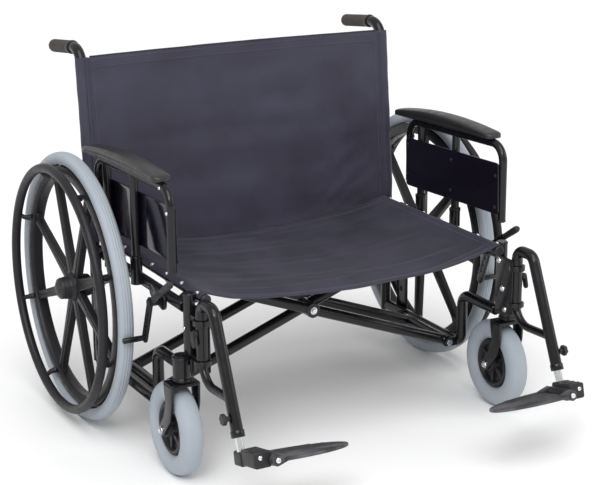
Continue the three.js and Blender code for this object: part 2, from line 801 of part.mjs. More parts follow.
function footExtension() {
  const pinReach = KNUCKLE_HALF + 22;
  const tubeX = HANGER_X - FOOT_HINGE.x;
  const knuckle = rod(at(0, -KNUCKLE_HALF, 0), at(0, KNUCKLE_HALF, 0), KNUCKLE_RADIUS);
  const block = box(at(6, -KNUCKLE_HALF, -KNUCKLE_RADIUS), at(tubeX + 8, KNUCKLE_HALF, 20));
  const socket = box(at(tubeX - 11, KNUCKLE_HALF - 1, -16), at(tubeX + 10, 60, 14));
  const pin = rod(at(0, -pinReach, 0), at(0, pinReach, 0), FOOT_PIN);
  const clamp = tilted(join(knuckle, block, socket, pin));
  const foot = at(HANGER_X, FOOT_HINGE.y + 43, FOOT_HINGE.z - 6);
  const reach = foot.sub(LEG_END).dot(LEG_AXIS);
  return join(rod(alongLeg(-105), alongLeg(reach), EXTENSION_RADIUS), clamp);
}

function footplate() {
  const half = FOOTPLATE_DEPTH / 2;
  const thickness = 6;
  const inner = -FOOTPLATE_REACH;
  const outer = -KNUCKLE_RADIUS - 2;
  const outline = new THREE.Shape();
  outline.moveTo(outer, -half);
  outline.lineTo(outer, half);
  outline.lineTo(inner + FOOTPLATE_POINT, half);
  outline.absellipse(inner + FOOTPLATE_POINT, 0, FOOTPLATE_POINT, half, Math.PI / 2, 1.5 * Math.PI, false);
  const options = { depth: thickness, bevelEnabled: false, curveSegments: 12 };
  const tread = new THREE.ExtrudeGeometry(outline, options);
  tread.translate(0, 0, -thickness / 2);
  const ears = [-1, 1].map((side) => {
    const near = side * (KNUCKLE_HALF + 1);
    const far = side * (KNUCKLE_HALF + 16);
    const ring = rod(at(0, near, 0), at(0, far, 0), KNUCKLE_RADIUS - 1);
    const [front, rear] = [Math.min(near, far), Math.max(near, far)];
    const web = box(at(outer - 10, front, -thickness / 2), at(-2, rear, thickness / 2 + 3));
    return join(ring, web);
  });
  const bore = rod(at(0, -half, 0), at(0, half, 0), FOOT_PIN + 0.4);
  return tilted(cut(join(tread, ...ears), bore).rotateY(-FOOT_DROOP));
}

// ---------------------------------------------------------------- cross braces and seat rails

// side is +1 for the brace that carries the left seat rail, whose foot is on the right-hand frame.
function crossBrace(side, ys) {
  const foot = (y) => at(-side * RAIL_X, y, BRACE_LOW_Z);
  const head = (y) => at(side * RAIL_X, y, BRACE_HIGH_Z);
  const diagonals = ys.map((y) => rod(foot(y), head(y), TUBE));
  const sleeve = rod(foot(SLEEVE_FRONT), foot(SLEEVE_BACK), SLEEVE_RADIUS);
  const sleeveBore = rod(foot(SLEEVE_FRONT - 2), foot(SLEEVE_BACK + 2), BRACE_PIN_BORE);
  const railRoom = rod(
    at(side * RAIL_X, RAIL_FRONT, RAIL_Z),
    at(side * RAIL_X, RAIL_BACK, RAIL_Z),
    RAIL_RADIUS + 0.6,
    16,
  );
  const trim = box(
    at(side > 0 ? RAIL_X : -RAIL_X - 60, RAIL_FRONT, BRACE_HIGH_Z - 40),
    at(side > 0 ? RAIL_X + 60 : -RAIL_X, RAIL_BACK, BRACE_HIGH_Z + 40),
  );
  const middle = (BRACE_LOW_Z + BRACE_HIGH_Z) / 2;
  const pivotBores = ys.map((y) => rod(at(0, y - 20, middle), at(0, y + 20, middle), PIVOT_BOLT_BORE));
  return cut(join(...diagonals, sleeve), sleeveBore, railRoom, trim, ...pivotBores);
}

function pivotBolt(leftY, rightY) {
  const middle = (BRACE_LOW_Z + BRACE_HIGH_Z) / 2;
  const front = Math.min(leftY, rightY) - TUBE;
  const back = Math.max(leftY, rightY) + TUBE;
  return join(
    rod(at(0, front - 2, middle), at(0, back + 2, middle), PIVOT_BOLT_RADIUS),
    rod(at(0, front - 7, middle), at(0, front - 1, middle), 9, 6),
    rod(at(0, back + 1, middle), at(0, back + 7, middle), 9, 6),
  );
}

function seatRail() {
  return rod(at(RAIL_X, RAIL_FRONT, RAIL_Z), at(RAIL_X, RAIL_BACK, RAIL_Z), RAIL_RADIUS);
}

// ---------------------------------------------------------------- upholstery, one half of each sling

function seatHalf() {
  const rimZ = RAIL_Z + RAIL_RADIUS + 0.8;
  const reach = RAIL_X + 2;
  const below = (x) => rimZ - SEAT_SAG * (1 - (x / reach) ** 2);
  const xs = [GAP / 2, 120, 230, 330, reach];
  const outline = new THREE.Shape([
    ...xs.map((x) => new THREE.Vector2(x, below(x))),
    ...xs.reverse().map((x) => new THREE.Vector2(x, below(x) + CLOTH)),
  ]);
  const sling = new THREE.ExtrudeGeometry(outline, { depth: RAIL_BACK - RAIL_FRONT, bevelEnabled: false });
  return sling.rotateX(Math.PI / 2).translate(0, RAIL_BACK, 0);
}

function backHalf() {
  const lean = (CANE_TOP.y - CANE_KNEE.y) / (CANE_TOP.z - CANE_KNEE.z);
  const edge = FRAME_X - TUBE - 0.8;
  const topY = CANE_KNEE.y + lean * (BACK_TOP - CANE_KNEE.z);
  const outline = new THREE.Shape([
    new THREE.Vector2(CANE_KNEE.y - CLOTH / 2, BACK_BOTTOM),
    new THREE.Vector2(CANE_KNEE.y + CLOTH / 2, BACK_BOTTOM),
    new THREE.Vector2(CANE_KNEE.y + CLOTH / 2, CANE_KNEE.z),
    new THREE.Vector2(topY + CLOTH / 2, BACK_TOP),
    new THREE.Vector2(topY - CLOTH / 2, BACK_TOP),
    new THREE.Vector2(CANE_KNEE.y - CLOTH / 2, CANE_KNEE.z),
  ]);
  return plateAcrossX(outline, GAP / 2, edge);
}

// ---------------------------------------------------------------- assembly

const chair = new THREE.Group();
chair.name = 'wheelchair';

function add(name, geometry, kind, position = at(0, 0, 0), spin = 0) {
  const mesh = new THREE.Mesh(facingOut(geometry), finish(kind));
  mesh.name = name;
  mesh.position.copy(position);
  mesh.rotation.x = spin;
  chair.add(mesh);
}

function addPair(name, geometry, kind) {
  add(`left_${name}`, geometry, kind);
  add(`right_${name}`, mirrored(geometry), kind);
}

// A wheel piece is drawn about its own centre and may be turned about its axle.
function addWheelPair(name, geometry, kind, centre, phase = { left: 0, right: 0 }) {
  const spin = (degrees) => -THREE.MathUtils.degToRad(degrees);
  add(`left_${name}`, geometry, kind, centre, spin(phase.left));
  add(`right_${name}`, mirrored(geometry), kind, at(-centre.x, centre.y, centre.z), spin(phase.right));
}

const wheelCentre = at(WHEEL_X, 0, WHEEL_RADIUS);
addWheelPair('rear_tyre', rearTyre(), 'tyre', wheelCentre);
addWheelPair('rear_wheel', rearWheel(), 'plastic', wheelCentre, SPOKE_PHASE);
addWheelPair('handrim', handrim(), 'plastic', wheelCentre, SPOKE_PHASE);
addWheelPair('hub_cap', hubCap(), 'plastic', wheelCentre);

const casterCentre = at(CASTER_X, CASTER_Y, CASTER_RADIUS);
addWheelPair('caster_tyre', casterTyre(), 'tyre', casterCentre);
addWheelPair('caster_wheel', casterWheel(), 'plastic', casterCentre);
addPair('caster_fork', casterFork(), 'frame');
addPair('caster_axle', casterAxle(), 'chrome');

addPair('front_post', frontPost(), 'frame');
addPair('lower_tube', lowerTube(), 'frame');
addPair('side_tube', sideTube(), 'frame');
addPair('back_cane', backCane(), 'frame');
addPair('push_grip', pushGrip(), 'grip');
addPair('axle_plate', axlePlate(), 'frame');
addPair('axle_bolt', axleBolt(), 'chrome');
addPair('lock_bracket', lockBracket(), 'frame');
addPair('lock_lever', lockLever(), 'frame');

addPair('arm_frame', armFrame(), 'frame');
addPair('arm_pad', armPad(), 'pad');
addPair('side_panel', sidePanel(), 'panel');

addPair('hanger', hanger(), 'frame');
addPair('release_lever', releaseLever(), 'plastic');
addPair('foot_extension', footExtension(), 'chrome');
addPair('extension_knob', extensionKnob(), 'plastic');
addPair('footplate', footplate(), 'plastic');

add('left_rail_brace', crossBrace(1, LEFT_BRACE_YS), 'frame');
add('right_rail_brace', crossBrace(-1, RIGHT_BRACE_YS), 'frame');
add('front_pivot_bolt', pivotBolt(LEFT_BRACE_YS[0], RIGHT_BRACE_YS[0]), 'chrome');
add('rear_pivot_bolt', pivotBolt(LEFT_BRACE_YS[1], RIGHT_BRACE_YS[1]), 'chrome');
addPair('seat_rail', seatRail(), 'frame');
addPair('seat_half', seatHalf(), 'cloth');
addPair('back_half', backHalf(), 'cloth');

chair.position.y = FOOTPRINT_SHIFT;

export default chair;
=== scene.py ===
"""A wide folding manual wheelchair: its looks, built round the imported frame.

Metres, +Z up, the sitter faces -Y and the sitter's left is +X. Side pieces are drawn for the left side
in millimetres, with y measured from the rear axle, and mirrored for the right side.
"""

import json
import math

import bmesh
import bpy
import numpy as np
from mathutils import Matrix, Vector, noise


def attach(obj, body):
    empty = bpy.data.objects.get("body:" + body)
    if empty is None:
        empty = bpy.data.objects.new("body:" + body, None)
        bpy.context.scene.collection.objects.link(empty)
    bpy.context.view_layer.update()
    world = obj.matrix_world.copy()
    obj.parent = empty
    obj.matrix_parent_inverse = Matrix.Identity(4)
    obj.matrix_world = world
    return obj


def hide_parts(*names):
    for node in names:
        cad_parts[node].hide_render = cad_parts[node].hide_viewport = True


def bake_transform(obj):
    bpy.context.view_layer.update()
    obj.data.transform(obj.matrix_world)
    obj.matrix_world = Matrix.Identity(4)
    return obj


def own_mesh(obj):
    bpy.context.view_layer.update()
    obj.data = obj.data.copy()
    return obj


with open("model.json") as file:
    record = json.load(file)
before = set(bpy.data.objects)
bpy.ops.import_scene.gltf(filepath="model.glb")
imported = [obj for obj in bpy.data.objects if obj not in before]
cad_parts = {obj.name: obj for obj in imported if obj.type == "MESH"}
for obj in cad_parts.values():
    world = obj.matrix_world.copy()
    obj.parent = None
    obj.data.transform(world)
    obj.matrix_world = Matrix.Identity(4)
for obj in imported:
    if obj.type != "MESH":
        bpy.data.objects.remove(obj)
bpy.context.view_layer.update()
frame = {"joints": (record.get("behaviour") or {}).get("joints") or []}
JOINTS = {joint["name"]: joint for joint in frame["joints"]}

MM = 0.001
OUTWARD = Vector((1, 0, 0))
REARWARD = Vector((0, 1, 0))
UP = Vector((0, 0, 1))
SIDES = (("left", 1), ("right", -1))
AXLE_Y = JOINTS["left_wheel_spin"]["pos_m"][1]

# ------------------------------------------------------------------ sizes shared with the frame, in mm

TUBE = 12.5
FRAME_X = 390
POST_X = 386
STEM_Y = -452
CASTER_X = 406
CASTER_Y = -415
CASTER_Z = 101.5
WHEEL_X = 460
WHEEL_Z = 305
RAIL_X = 360
RAIL_Z = 392
RAIL_FRONT = -478
RAIL_BACK = 28
BRACE_LOW_Z = 118
BRACE_HIGH_Z = 386
LEFT_BRACE_YS = (-235, -75)
RIGHT_BRACE_YS = (-263, -103)
CANE_BOTTOM = (52.5, 100)
CANE_KNEE = (55, 430)
CANE_TOP = (92.5, 827)
HANDLE_START_Y = 140
HANDLE_END = (264, 808)
HANDLE_RISE = (HANDLE_END[1] - CANE_TOP[1]) / (HANDLE_END[0] - CANE_TOP[0])
ARM_X = 406
ARM_TUBE = 9.5
ARM_POST_YS = (-80, -229)
HANGER_X = 386
HANGER_PIVOT_Y = -511
LEG_TOP = (-568, 400)
LEG_END = (-671, 168)
KNOB = (-657, 205)
KNUCKLE_HALF = 30
FOOT_HINGE = (351, -727, 140)
FOOT_TILT = math.radians(13)
FOOT_DROOP = math.radians(2)
LOCK_PIVOT = (-345, 360)
LOCK_SHOE = (-311.5, 272)
LOCK_TIP = (-455, 430)
LOCK_INNER = 423.5
LOCK_OUTER = 428.5
SPOKES = 8
SPOKE_PHASE = {"left": -2, "right": 20}
BACK_TOP = 806
BACK_BOTTOM = 339
SEAT_SAG = 40


def at(x, y, z):
    """A point in metres from millimetres, with y measured from the rear axle."""
    return Vector((x * MM, AXLE_Y + y * MM, z * MM))


# ------------------------------------------------------------------ material recipes


class Recipe:
    """A procedural material: one principled shader and the texture nodes that feed it."""

    def __init__(self, name, **settings):
        self.material = bpy.data.materials.new(name)
        self.material.use_nodes = True
        self.nodes = self.material.node_tree.nodes
        self.links = self.material.node_tree.links
        self.shader = self.nodes["Principled BSDF"]
        for socket, value in settings.items():
            self.shader.inputs[socket.replace("_", " ")].default_value = value
        self.place = self.nodes.new("ShaderNodeTexCoord").outputs["Object"]
        self.height = None

    def noise(self, scale, detail=4.0, roughness=0.55, place=None):
        node = self.nodes.new("ShaderNodeTexNoise")
        node.inputs["Scale"].default_value = scale
        node.inputs["Detail"].default_value = detail
        node.inputs["Roughness"].default_value = roughness
        self.links.new(place or self.place, node.inputs["Vector"])
        return node.outputs["Fac"]

    def stretched(self, x, y, z):
        node = self.nodes.new("ShaderNodeMapping")
        node.inputs["Scale"].default_value = (x, y, z)
        self.links.new(self.place, node.inputs["Vector"])
        return node.outputs["Vector"]

    def cells(self, scale):
        node = self.nodes.new("ShaderNodeTexVoronoi")
        node.inputs["Scale"].default_value = scale
        self.links.new(self.place, node.inputs["Vector"])
        return node.outputs["Distance"]

    def bands(self, direction, scale):
        node = self.nodes.new("ShaderNodeTexWave")
        node.bands_direction = direction
        node.inputs["Scale"].default_value = scale
        node.inputs["Distortion"].default_value = 0.4
        self.links.new(self.place, node.inputs["Vector"])
        return node.outputs["Fac"]

    def ranged(self, source, low, high, start=0.3, end=0.7):
        node = self.nodes.new("ShaderNodeMapRange")
        node.inputs["From Min"].default_value = start
        node.inputs["From Max"].default_value = end
        node.inputs["To Min"].default_value = low
        node.inputs["To Max"].default_value = high
        self.links.new(source, node.inputs["Value"])
        return node.outputs["Result"]

    def multiplied(self, a, b):
        node = self.nodes.new("ShaderNodeMath")
        node.operation = "MULTIPLY"
        self.links.new(a, node.inputs[0])
        self.links.new(b, node.inputs[1])
        return node.outputs["Value"]

    def edges(self, start, end):
        """0 on flat and hollow places, rising to 1 on worn outer edges."""
        geometry = self.nodes.new("ShaderNodeNewGeometry")
        return self.ranged(geometry.outputs["Pointiness"], 0, 1, start, end)

    def colour(self, factor, low, high):
        node = self.nodes.new("ShaderNodeMix")
        node.data_type = "RGBA"
        node.inputs["A"].default_value = (*low, 1)
        node.inputs["B"].default_value = (*high, 1)
        self.links.new(factor, node.inputs["Factor"])
        return node.outputs["Result"]

    def mixed(self, factor, below, colour):
        """The colour socket below, turning to a fixed colour as the factor rises."""
        node = self.nodes.new("ShaderNodeMix")
        node.data_type = "RGBA"
        node.inputs["B"].default_value = (*colour, 1)
        self.links.new(below, node.inputs["A"])
        self.links.new(factor, node.inputs["Factor"])
        return node.outputs["Result"]

    def bump(self, height, strength, distance):
        node = self.nodes.new("ShaderNodeBump")
        node.inputs["Strength"].default_value = strength
        node.inputs["Distance"].default_value = distance
        self.links.new(height, node.inputs["Height"])
        if self.height:
            self.links.new(self.height, node.inputs["Normal"])
        self.height = node.outputs["Normal"]
        self.links.new(self.height, self.shader.inputs["Normal"])

    def feed(self, socket, source):
        self.links.new(source, self.shader.inputs[socket])

    def tint(self, source):
        self.feed("Base Color", source)

    def polish(self, source, low, high, **limits):
        """Roughness that wanders between two values."""
        self.feed("Roughness", self.ranged(source, low, high, **limits))


def gloss_paint():
    """Black powder coat: a hard gloss with faint orange peel, a little grey where edges are worn."""
    recipe = Recipe("gloss_black_paint", Coat_Weight=0.15, Coat_Roughness=0.08, Specular_IOR_Level=0.3)
    base = recipe.colour(recipe.noise(14), (0.003, 0.003, 0.004), (0.008, 0.008, 0.010))
    recipe.tint(recipe.mixed(recipe.edges(0.56, 0.75), base, (0.045, 0.045, 0.05)))
    recipe.polish(recipe.noise(60), 0.15, 0.3)
    recipe.bump(recipe.noise(420, detail=1.5), 0.1, 0.0006)
    return recipe.material


def wheel_nylon():
    """Glass-filled nylon of the wheels: nearly matt, with a fine mould grain and a greyer haze."""
    recipe = Recipe("black_wheel_nylon", Specular_IOR_Level=0.3)
    recipe.tint(recipe.colour(recipe.noise(30, 6), (0.007, 0.006, 0.008), (0.018, 0.016, 0.019)))
    recipe.polish(recipe.noise(90), 0.34, 0.52)
    recipe.bump(recipe.noise(700, 3), 0.22, 0.0004)
    return recipe.material


def tyre_rubber():
    """Pale grey-blue solid tyre: matt, slightly mottled, with faint scuffs running round it."""
    recipe = Recipe("grey_tyre", Specular_IOR_Level=0.45)
    base = recipe.colour(recipe.noise(9, 5), (0.28, 0.32, 0.36), (0.38, 0.415, 0.46))
    scuffs = recipe.ranged(recipe.noise(70, 8, 0.7), 0, 0.35, 0.55, 0.8)
    recipe.tint(recipe.mixed(scuffs, base, (0.27, 0.29, 0.32)))
    recipe.polish(recipe.noise(40), 0.48, 0.7)
    recipe.bump(recipe.noise(520, 3), 0.25, 0.0005)
    return recipe.material


def grip_vinyl():
    """Dark brown-grey vinyl of the push handles, finely stippled."""
    recipe = Recipe("grip_vinyl")
    recipe.tint(recipe.colour(recipe.noise(40), (0.030, 0.023, 0.021), (0.052, 0.042, 0.038)))
    recipe.polish(recipe.noise(120), 0.45, 0.7)
    recipe.bump(recipe.cells(900), 0.3, 0.0004)
    return recipe.material


def chrome_plate():
    """Bright plate with hair-fine scratches and a slight haze."""
    recipe = Recipe("bright_plate", Metallic=1.0)
    recipe.tint(recipe.colour(recipe.noise(25), (0.62, 0.63, 0.65), (0.8, 0.81, 0.83)))
    scratches = recipe.noise(160, 6, 0.7, recipe.stretched(1, 1, 0.12))
    recipe.polish(scratches, 0.09, 0.26)
    recipe.bump(scratches, 0.05, 0.0002)
    return recipe.material


def pad_urethane():
    """Self-skinned foam of the arm pads: a pebbled black skin with a soft shine."""
    recipe = Recipe("arm_pad_skin", Coat_Weight=0.2, Coat_Roughness=0.25, Specular_IOR_Level=0.4)
    recipe.tint(recipe.colour(recipe.noise(22, 5), (0.010, 0.010, 0.011), (0.026, 0.025, 0.026)))
    recipe.polish(recipe.noise(55), 0.3, 0.5)
    recipe.bump(recipe.cells(620), 0.3, 0.0006)
    recipe.bump(recipe.noise(150), 0.12, 0.001)
    return recipe.material


def gloss_sheet():
    """Glossy plastic of the clothing guards, not quite flat, so reflections waver."""
    recipe = Recipe("gloss_panel", Coat_Weight=0.3, Coat_Roughness=0.04, Specular_IOR_Level=0.3)
    recipe.tint(recipe.colour(recipe.noise(8), (0.003, 0.002, 0.006), (0.007, 0.005, 0.012)))
    recipe.polish(recipe.noise(30, 6), 0.07, 0.17)
    recipe.bump(recipe.noise(7, 2), 0.12, 0.006)
    recipe.bump(recipe.noise(300, 2), 0.04, 0.0003)
    return recipe.material


def moulded_plastic():
    """Satin black moulding of knobs, plugs, clamps and footplates, dusted paler in streaks."""
    recipe = Recipe("moulded_plastic", Specular_IOR_Level=0.35)
    dust = recipe.noise(26, 6, 0.65, recipe.stretched(1, 5, 2))
    base = recipe.colour(recipe.noise(50), (0.012, 0.012, 0.013), (0.022, 0.022, 0.024))
    dusty = recipe.ranged(dust, 0, 0.45, 0.5, 0.75)
    recipe.tint(recipe.mixed(dusty, base, (0.07, 0.07, 0.075)))
    recipe.polish(dust, 0.32, 0.6)
    recipe.bump(recipe.cells(800), 0.18, 0.0004)
    return recipe.material


def tread_plastic():
    """Moulded plastic of the footplates: pale grey streaks running along the tread are painted highlight in
    its colour.
    """
    recipe = Recipe("tread_plastic", Specular_IOR_Level=0.4)
    highlight_streak_noise = recipe.noise(34, 6, 0.65, recipe.stretched(0.22, 1, 1))
    base = recipe.colour(recipe.noise(50), (0.022, 0.021, 0.025), (0.038, 0.037, 0.042))
    # painted highlight: pale grey streaks mixed into the base colour; the same noise also drives roughness
    # and bump
    streaks = recipe.ranged(highlight_streak_noise, 0, 0.8, 0.46, 0.7)
    recipe.tint(recipe.mixed(streaks, base, (0.17, 0.165, 0.18)))
    recipe.polish(highlight_streak_noise, 0.34, 0.6)
    recipe.bump(highlight_streak_noise, 0.25, 0.0006)
    return recipe.material


THREADS = 150  # scale of the weave


def coated_cloth(name, across, dark, light):
    """Blue-charcoal coated nylon: a plain weave across two directions, soft sheen, uneven fading."""
    recipe = Recipe(name, Sheen_Weight=0.1, Sheen_Roughness=0.4, Specular_IOR_Level=0.35)
    faded = recipe.colour(recipe.ranged(recipe.noise(6, 6, 0.62), 0, 1, 0.34, 0.66), dark, light)
    warp, weft = (recipe.bands(direction, THREADS) for direction in across)
    threads = recipe.multiplied(warp, weft)
    recipe.tint(recipe.mixed(recipe.ranged(threads, 0, 0.2, 0, 1), faded, (0.07, 0.068, 0.1)))
    recipe.polish(recipe.noise(12, 5), 0.5, 0.68)
    recipe.bump(threads, 0.3, 0.0004)
    recipe.bump(recipe.noise(45, 5), 0.18, 0.0015)
    return recipe.material


def sewing_thread():
    """Twisted polyester thread, a shade paler than the cloth."""
    recipe = Recipe("sewing_thread", Roughness=0.6, Sheen_Weight=0.3)
    recipe.tint(recipe.colour(recipe.noise(300), (0.045, 0.043, 0.065), (0.085, 0.082, 0.115)))
    recipe.bump(recipe.noise(900), 0.3, 0.0003)
    return recipe.material


PAINT = gloss_paint()
NYLON = wheel_nylon()
RUBBER = tyre_rubber()
VINYL = grip_vinyl()
CHROME = chrome_plate()
PAD_SKIN = pad_urethane()
PANEL = gloss_sheet()
PLASTIC = moulded_plastic()
TREAD = tread_plastic()
SEAT_CLOTH = coated_cloth("seat_cloth", "XY", (0.017, 0.017, 0.029), (0.034, 0.033, 0.053))
BACK_CLOTH = coated_cloth("back_cloth", "XZ", (0.023, 0.022, 0.038), (0.043, 0.041, 0.068))
THREAD = sewing_thread()
BINDING = coated_cloth("binding", "XZ", (0.012, 0.012, 0.016), (0.026, 0.025, 0.032))

# ------------------------------------------------------------------ solids


def linked(name, data):
    """A new object in the scene."""
    piece = bpy.data.objects.new(name, data)
    bpy.context.collection.objects.link(piece)
    return piece


def ring_loop(bm, points):
    return [bm.verts.new(point) for point in points]


def bridge(bm, first, second):
    """Faces between two loops of as many points."""
    count = len(first)
    for i in range(count):
        j = (i + 1) % count
        bm.faces.new((first[i], first[j], second[j], second[i]))


def stations(corners, bend, step=6.0):
    """Points along straight runs between corners, each inner corner rounded to the bend, in metres."""
    points = [corners[0].copy()]
    for before, corner, after in zip(corners, corners[1:], corners[2:]):
        incoming = (corner - before).normalized()
        outgoing = (after - corner).normalized()
        turn = incoming.angle(outgoing)
        start = corner - incoming * bend * math.tan(turn / 2)
        inward = (outgoing - incoming * math.cos(turn)) / math.sin(turn)
        centre = start + inward * bend
        steps = max(2, round(math.degrees(turn) / step))
        for i in range(steps + 1):
            angle = turn * i / steps
            points.append(centre + (incoming * math.sin(angle) - inward * math.cos(angle)) * bend)
    points.append(corners[-1].copy())
    return points


def add_sweep(bm, path, radii, sides=24):
    """A closed round tube along a path of points, with one radius per point, in metres."""
    tangents = []
    for i, point in enumerate(path):
        before = path[max(i - 1, 0)]
        after = path[min(i + 1, len(path) - 1)]
        tangents.append((after - before).normalized())
    normal = tangents[0].orthogonal().normalized()
    loops = []
    for point, tangent, radius in zip(path, tangents, radii):
        normal = (normal - tangent * normal.dot(tangent)).normalized()
        other = tangent.cross(normal)
        turns = [2 * math.pi * k / sides for k in range(sides)]
        ring = [point + (normal * math.cos(a) + other * math.sin(a)) * radius for a in turns]
        loops.append(ring_loop(bm, ring))
    for first, second in zip(loops, loops[1:]):
        bridge(bm, first, second)
    bm.faces.new(list(reversed(loops[0])))
    bm.faces.new(loops[-1])


def add_tube(bm, corners, radius, bend=30, sides=24, chamfer=1.2):
    """A round tube through points, its radius and bends in millimetres, with eased ends."""
    path = stations(corners, bend * MM)
    first = (path[1] - path[0]).normalized()
    last = (path[-1] - path[-2]).normalized()
    ease = chamfer * MM
    path = [path[0], path[0] + first * ease, *path[1:-1], path[-1] - last * ease, path[-1]]
    radii = [radius * MM] * len(path)
    radii[0] = radii[-1] = (radius - chamfer) * MM
    add_sweep(bm, path, radii, sides)


def add_lathe(bm, profile, centre, axis=OUTWARD, segments=96):
    """A solid of revolution from (radius, distance along the axis) points in millimetres.

    The profile closes on itself, or starts and ends on the axis.
    """
    turn = axis.normalized().to_track_quat("X", "Z").to_matrix()
    loops = []
    for radius, along in profile:
        if radius < 1e-6:
            loops.append([bm.verts.new(centre + turn @ Vector((along * MM, 0, 0)))])
            continue
        points = []
        for k in range(segments):
            angle = 2 * math.pi * k / segments
            local = Vector((along, radius * math.cos(angle), radius * math.sin(angle))) * MM
            points.append(centre + turn @ local)
        loops.append(ring_loop(bm, points))
    on_axis = len(loops[0]) == 1
    pairs = list(zip(loops, loops[1:]))
    if not on_axis:
        pairs.append((loops[-1], loops[0]))
    for first, second in pairs:
        for k in range(segments):
            j = (k + 1) % segments
            if len(first) == 1:
                bm.faces.new((first[0], second[j], second[k]))
            elif len(second) == 1:
                bm.faces.new((first[k], first[j], second[0]))
            else:
                bm.faces.new((first[k], first[j], second[j], second[k]))


def add_rod(bm, centre, axis, radius, low, high, segments):
    """A plain round rod or washer between two distances along the axis, in millimetres."""
    add_lathe(bm, [(0, low), (radius, low), (radius, high), (0, high)], centre, axis, segments)


PLATE_AXES = {
    "X": Matrix(((0, 0, 1), (1, 0, 0), (0, 1, 0))),
    "Y": Matrix(((1, 0, 0), (0, 0, -1), (0, 1, 0))),
    "Z": Matrix.Identity(3),
}


def add_plate(bm, loops, low, high, bevel=1.0, axis="X", move=None):
    """A plate with eased edges from closed outlines in millimetres; outlines inside the first are holes.

    Across X an outline holds (y, z) points, across Y it holds (x, z) and across Z it holds (x, y).
    """
    curve = bpy.data.curves.new("outline", "CURVE")
    curve.dimensions = "2D"
    curve.fill_mode = "BOTH"
    curve.extrude = (high - low) / 2 - bevel
    curve.bevel_depth = bevel
    curve.bevel_resolution = 2
    curve.offset = -bevel
    for loop in loops:
        spline = curve.splines.new("POLY")
        spline.points.add(len(loop) - 1)
        for point, (u, v) in zip(spline.points, loop):
            point.co = (u, v, 0, 1)
        spline.use_cyclic_u = True
    holder = linked("outline", curve)
    mesh = bpy.data.meshes.new_from_object(holder)
    turn = PLATE_AXES[axis]
    middle = turn @ Vector((0, 0, (low + high) / 2 if axis != "Y" else -(low + high) / 2))
    place = Matrix.Translation(middle) @ turn.to_4x4()
    if move is not None:
        place = move @ place
    metres = Matrix.Translation((0, AXLE_Y, 0)) @ Matrix.Scale(MM, 4)
    mesh.transform(metres @ place)
    bm.from_mesh(mesh)
    bpy.data.objects.remove(holder)
    bpy.data.curves.remove(curve)
    bpy.data.meshes.remove(mesh)


def arc(centre, radius, start, end, steps=8):
    """Points of a circular arc, angles in degrees."""
    angles = [math.radians(start + (end - start) * i / steps) for i in range(steps + 1)]
    return [(centre[0] + radius * math.cos(a), centre[1] + radius * math.sin(a)) for a in angles]


def circle(centre, radius, steps=20):
    return arc(centre, radius, 0, 360, steps)[:-1]


def bar(start, end, half, steps=8):
    """The outline of a bar with round ends."""
    lean = math.degrees(math.atan2(end[1] - start[1], end[0] - start[0]))
    return arc(end, half, lean - 90, lean + 90, steps) + arc(start, half, lean + 90, lean + 270, steps)


def rounded(u0, u1, v0, v1, radius, steps=6):
    """The outline of a rectangle with round corners."""
    corners = ((u1, v1, 0), (u0, v1, 90), (u0, v0, 180), (u1, v0, 270))
    points = []
    for u, v, start in corners:
        across = u - math.copysign(radius, u - (u0 + u1) / 2)
        up = v - math.copysign(radius, v - (v0 + v1) / 2)
        points += arc((across, up), radius, start, start + 90, steps)
    return points


def add_hex(bm, centre, axis, radius, length):
    """A hexagon head from its centre, along the axis."""
    ease = radius * 0.12
    profile = [(0, 0), (radius, 0), (radius, length - ease), (radius - ease, length), (0, length)]
    add_lathe(bm, profile, centre, axis, segments=6)


def add_screw_head(bm, centre, axis, radius, height):
    """A low domed head with a shallow dimple."""
    profile = [(0, 0), (radius, 0), (radius, height * 0.35), (radius * 0.8, height * 0.8)]
    profile += [(radius * 0.45, height), (radius * 0.3, height * 0.7), (0, height * 0.6)]
    add_lathe(bm, profile, centre, axis, segments=20)


# ------------------------------------------------------------------ pieces from solids


def finished(name, bm, material, smooth_degrees=38):
    bmesh.ops.remove_doubles(bm, verts=bm.verts, dist=1e-7)
    bmesh.ops.recalc_face_normals(bm, faces=bm.faces)
    mesh = bpy.data.meshes.new(name)
    bm.to_mesh(mesh)
    bm.free()
    mesh.shade_smooth()
    mesh.set_sharp_from_angle(angle=math.radians(smooth_degrees))
    mesh.materials.append(material)
    return linked(name, mesh)


def mirror(bm):
    bmesh.ops.scale(bm, vec=(-1, 1, 1), verts=bm.verts)
    bmesh.ops.reverse_faces(bm, faces=bm.faces)


def make(name, build, body, material, stands_for=(), mirrored=False):
    """One finished piece that rides on a body; build adds its shape to an empty mesh."""
    bm = bmesh.new()
    build(bm)
    if mirrored:
        mirror(bm)
    piece = finished(name, bm, material)
    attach(piece, body)
    if stands_for:
        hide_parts(*stands_for)
    return piece


def make_pair(name, build, body, material, stands_for=None, per_side=False):
    """A left piece and its mirror image; body and stands_for are given without left_ or right_."""
    pieces = []
    for side, sign in SIDES:
        shape = (lambda bm: build(bm, side)) if per_side else build
        nodes = (f"{side}_{stands_for}",) if stands_for else ()
        pieces.append(make(f"{side}_{name}", shape, f"{side}_{body}", material, nodes, sign < 0))
    return pieces


# ------------------------------------------------------------------ rear wheels

TYRE_OUTER = 305
TYRE_BED = 275.6
TYRE_HALF = 17
GROOVE_HALF = 1.1
RING_RADIUS = 273
RING_TUBE = 10.5
RING_OFFSET = 44
ROUND = 144  # segments round a rear wheel


def both_ways(half):
    """A whole profile from the half of it on the outward side."""
    return [(radius, -along) for radius, along in reversed(half)] + half


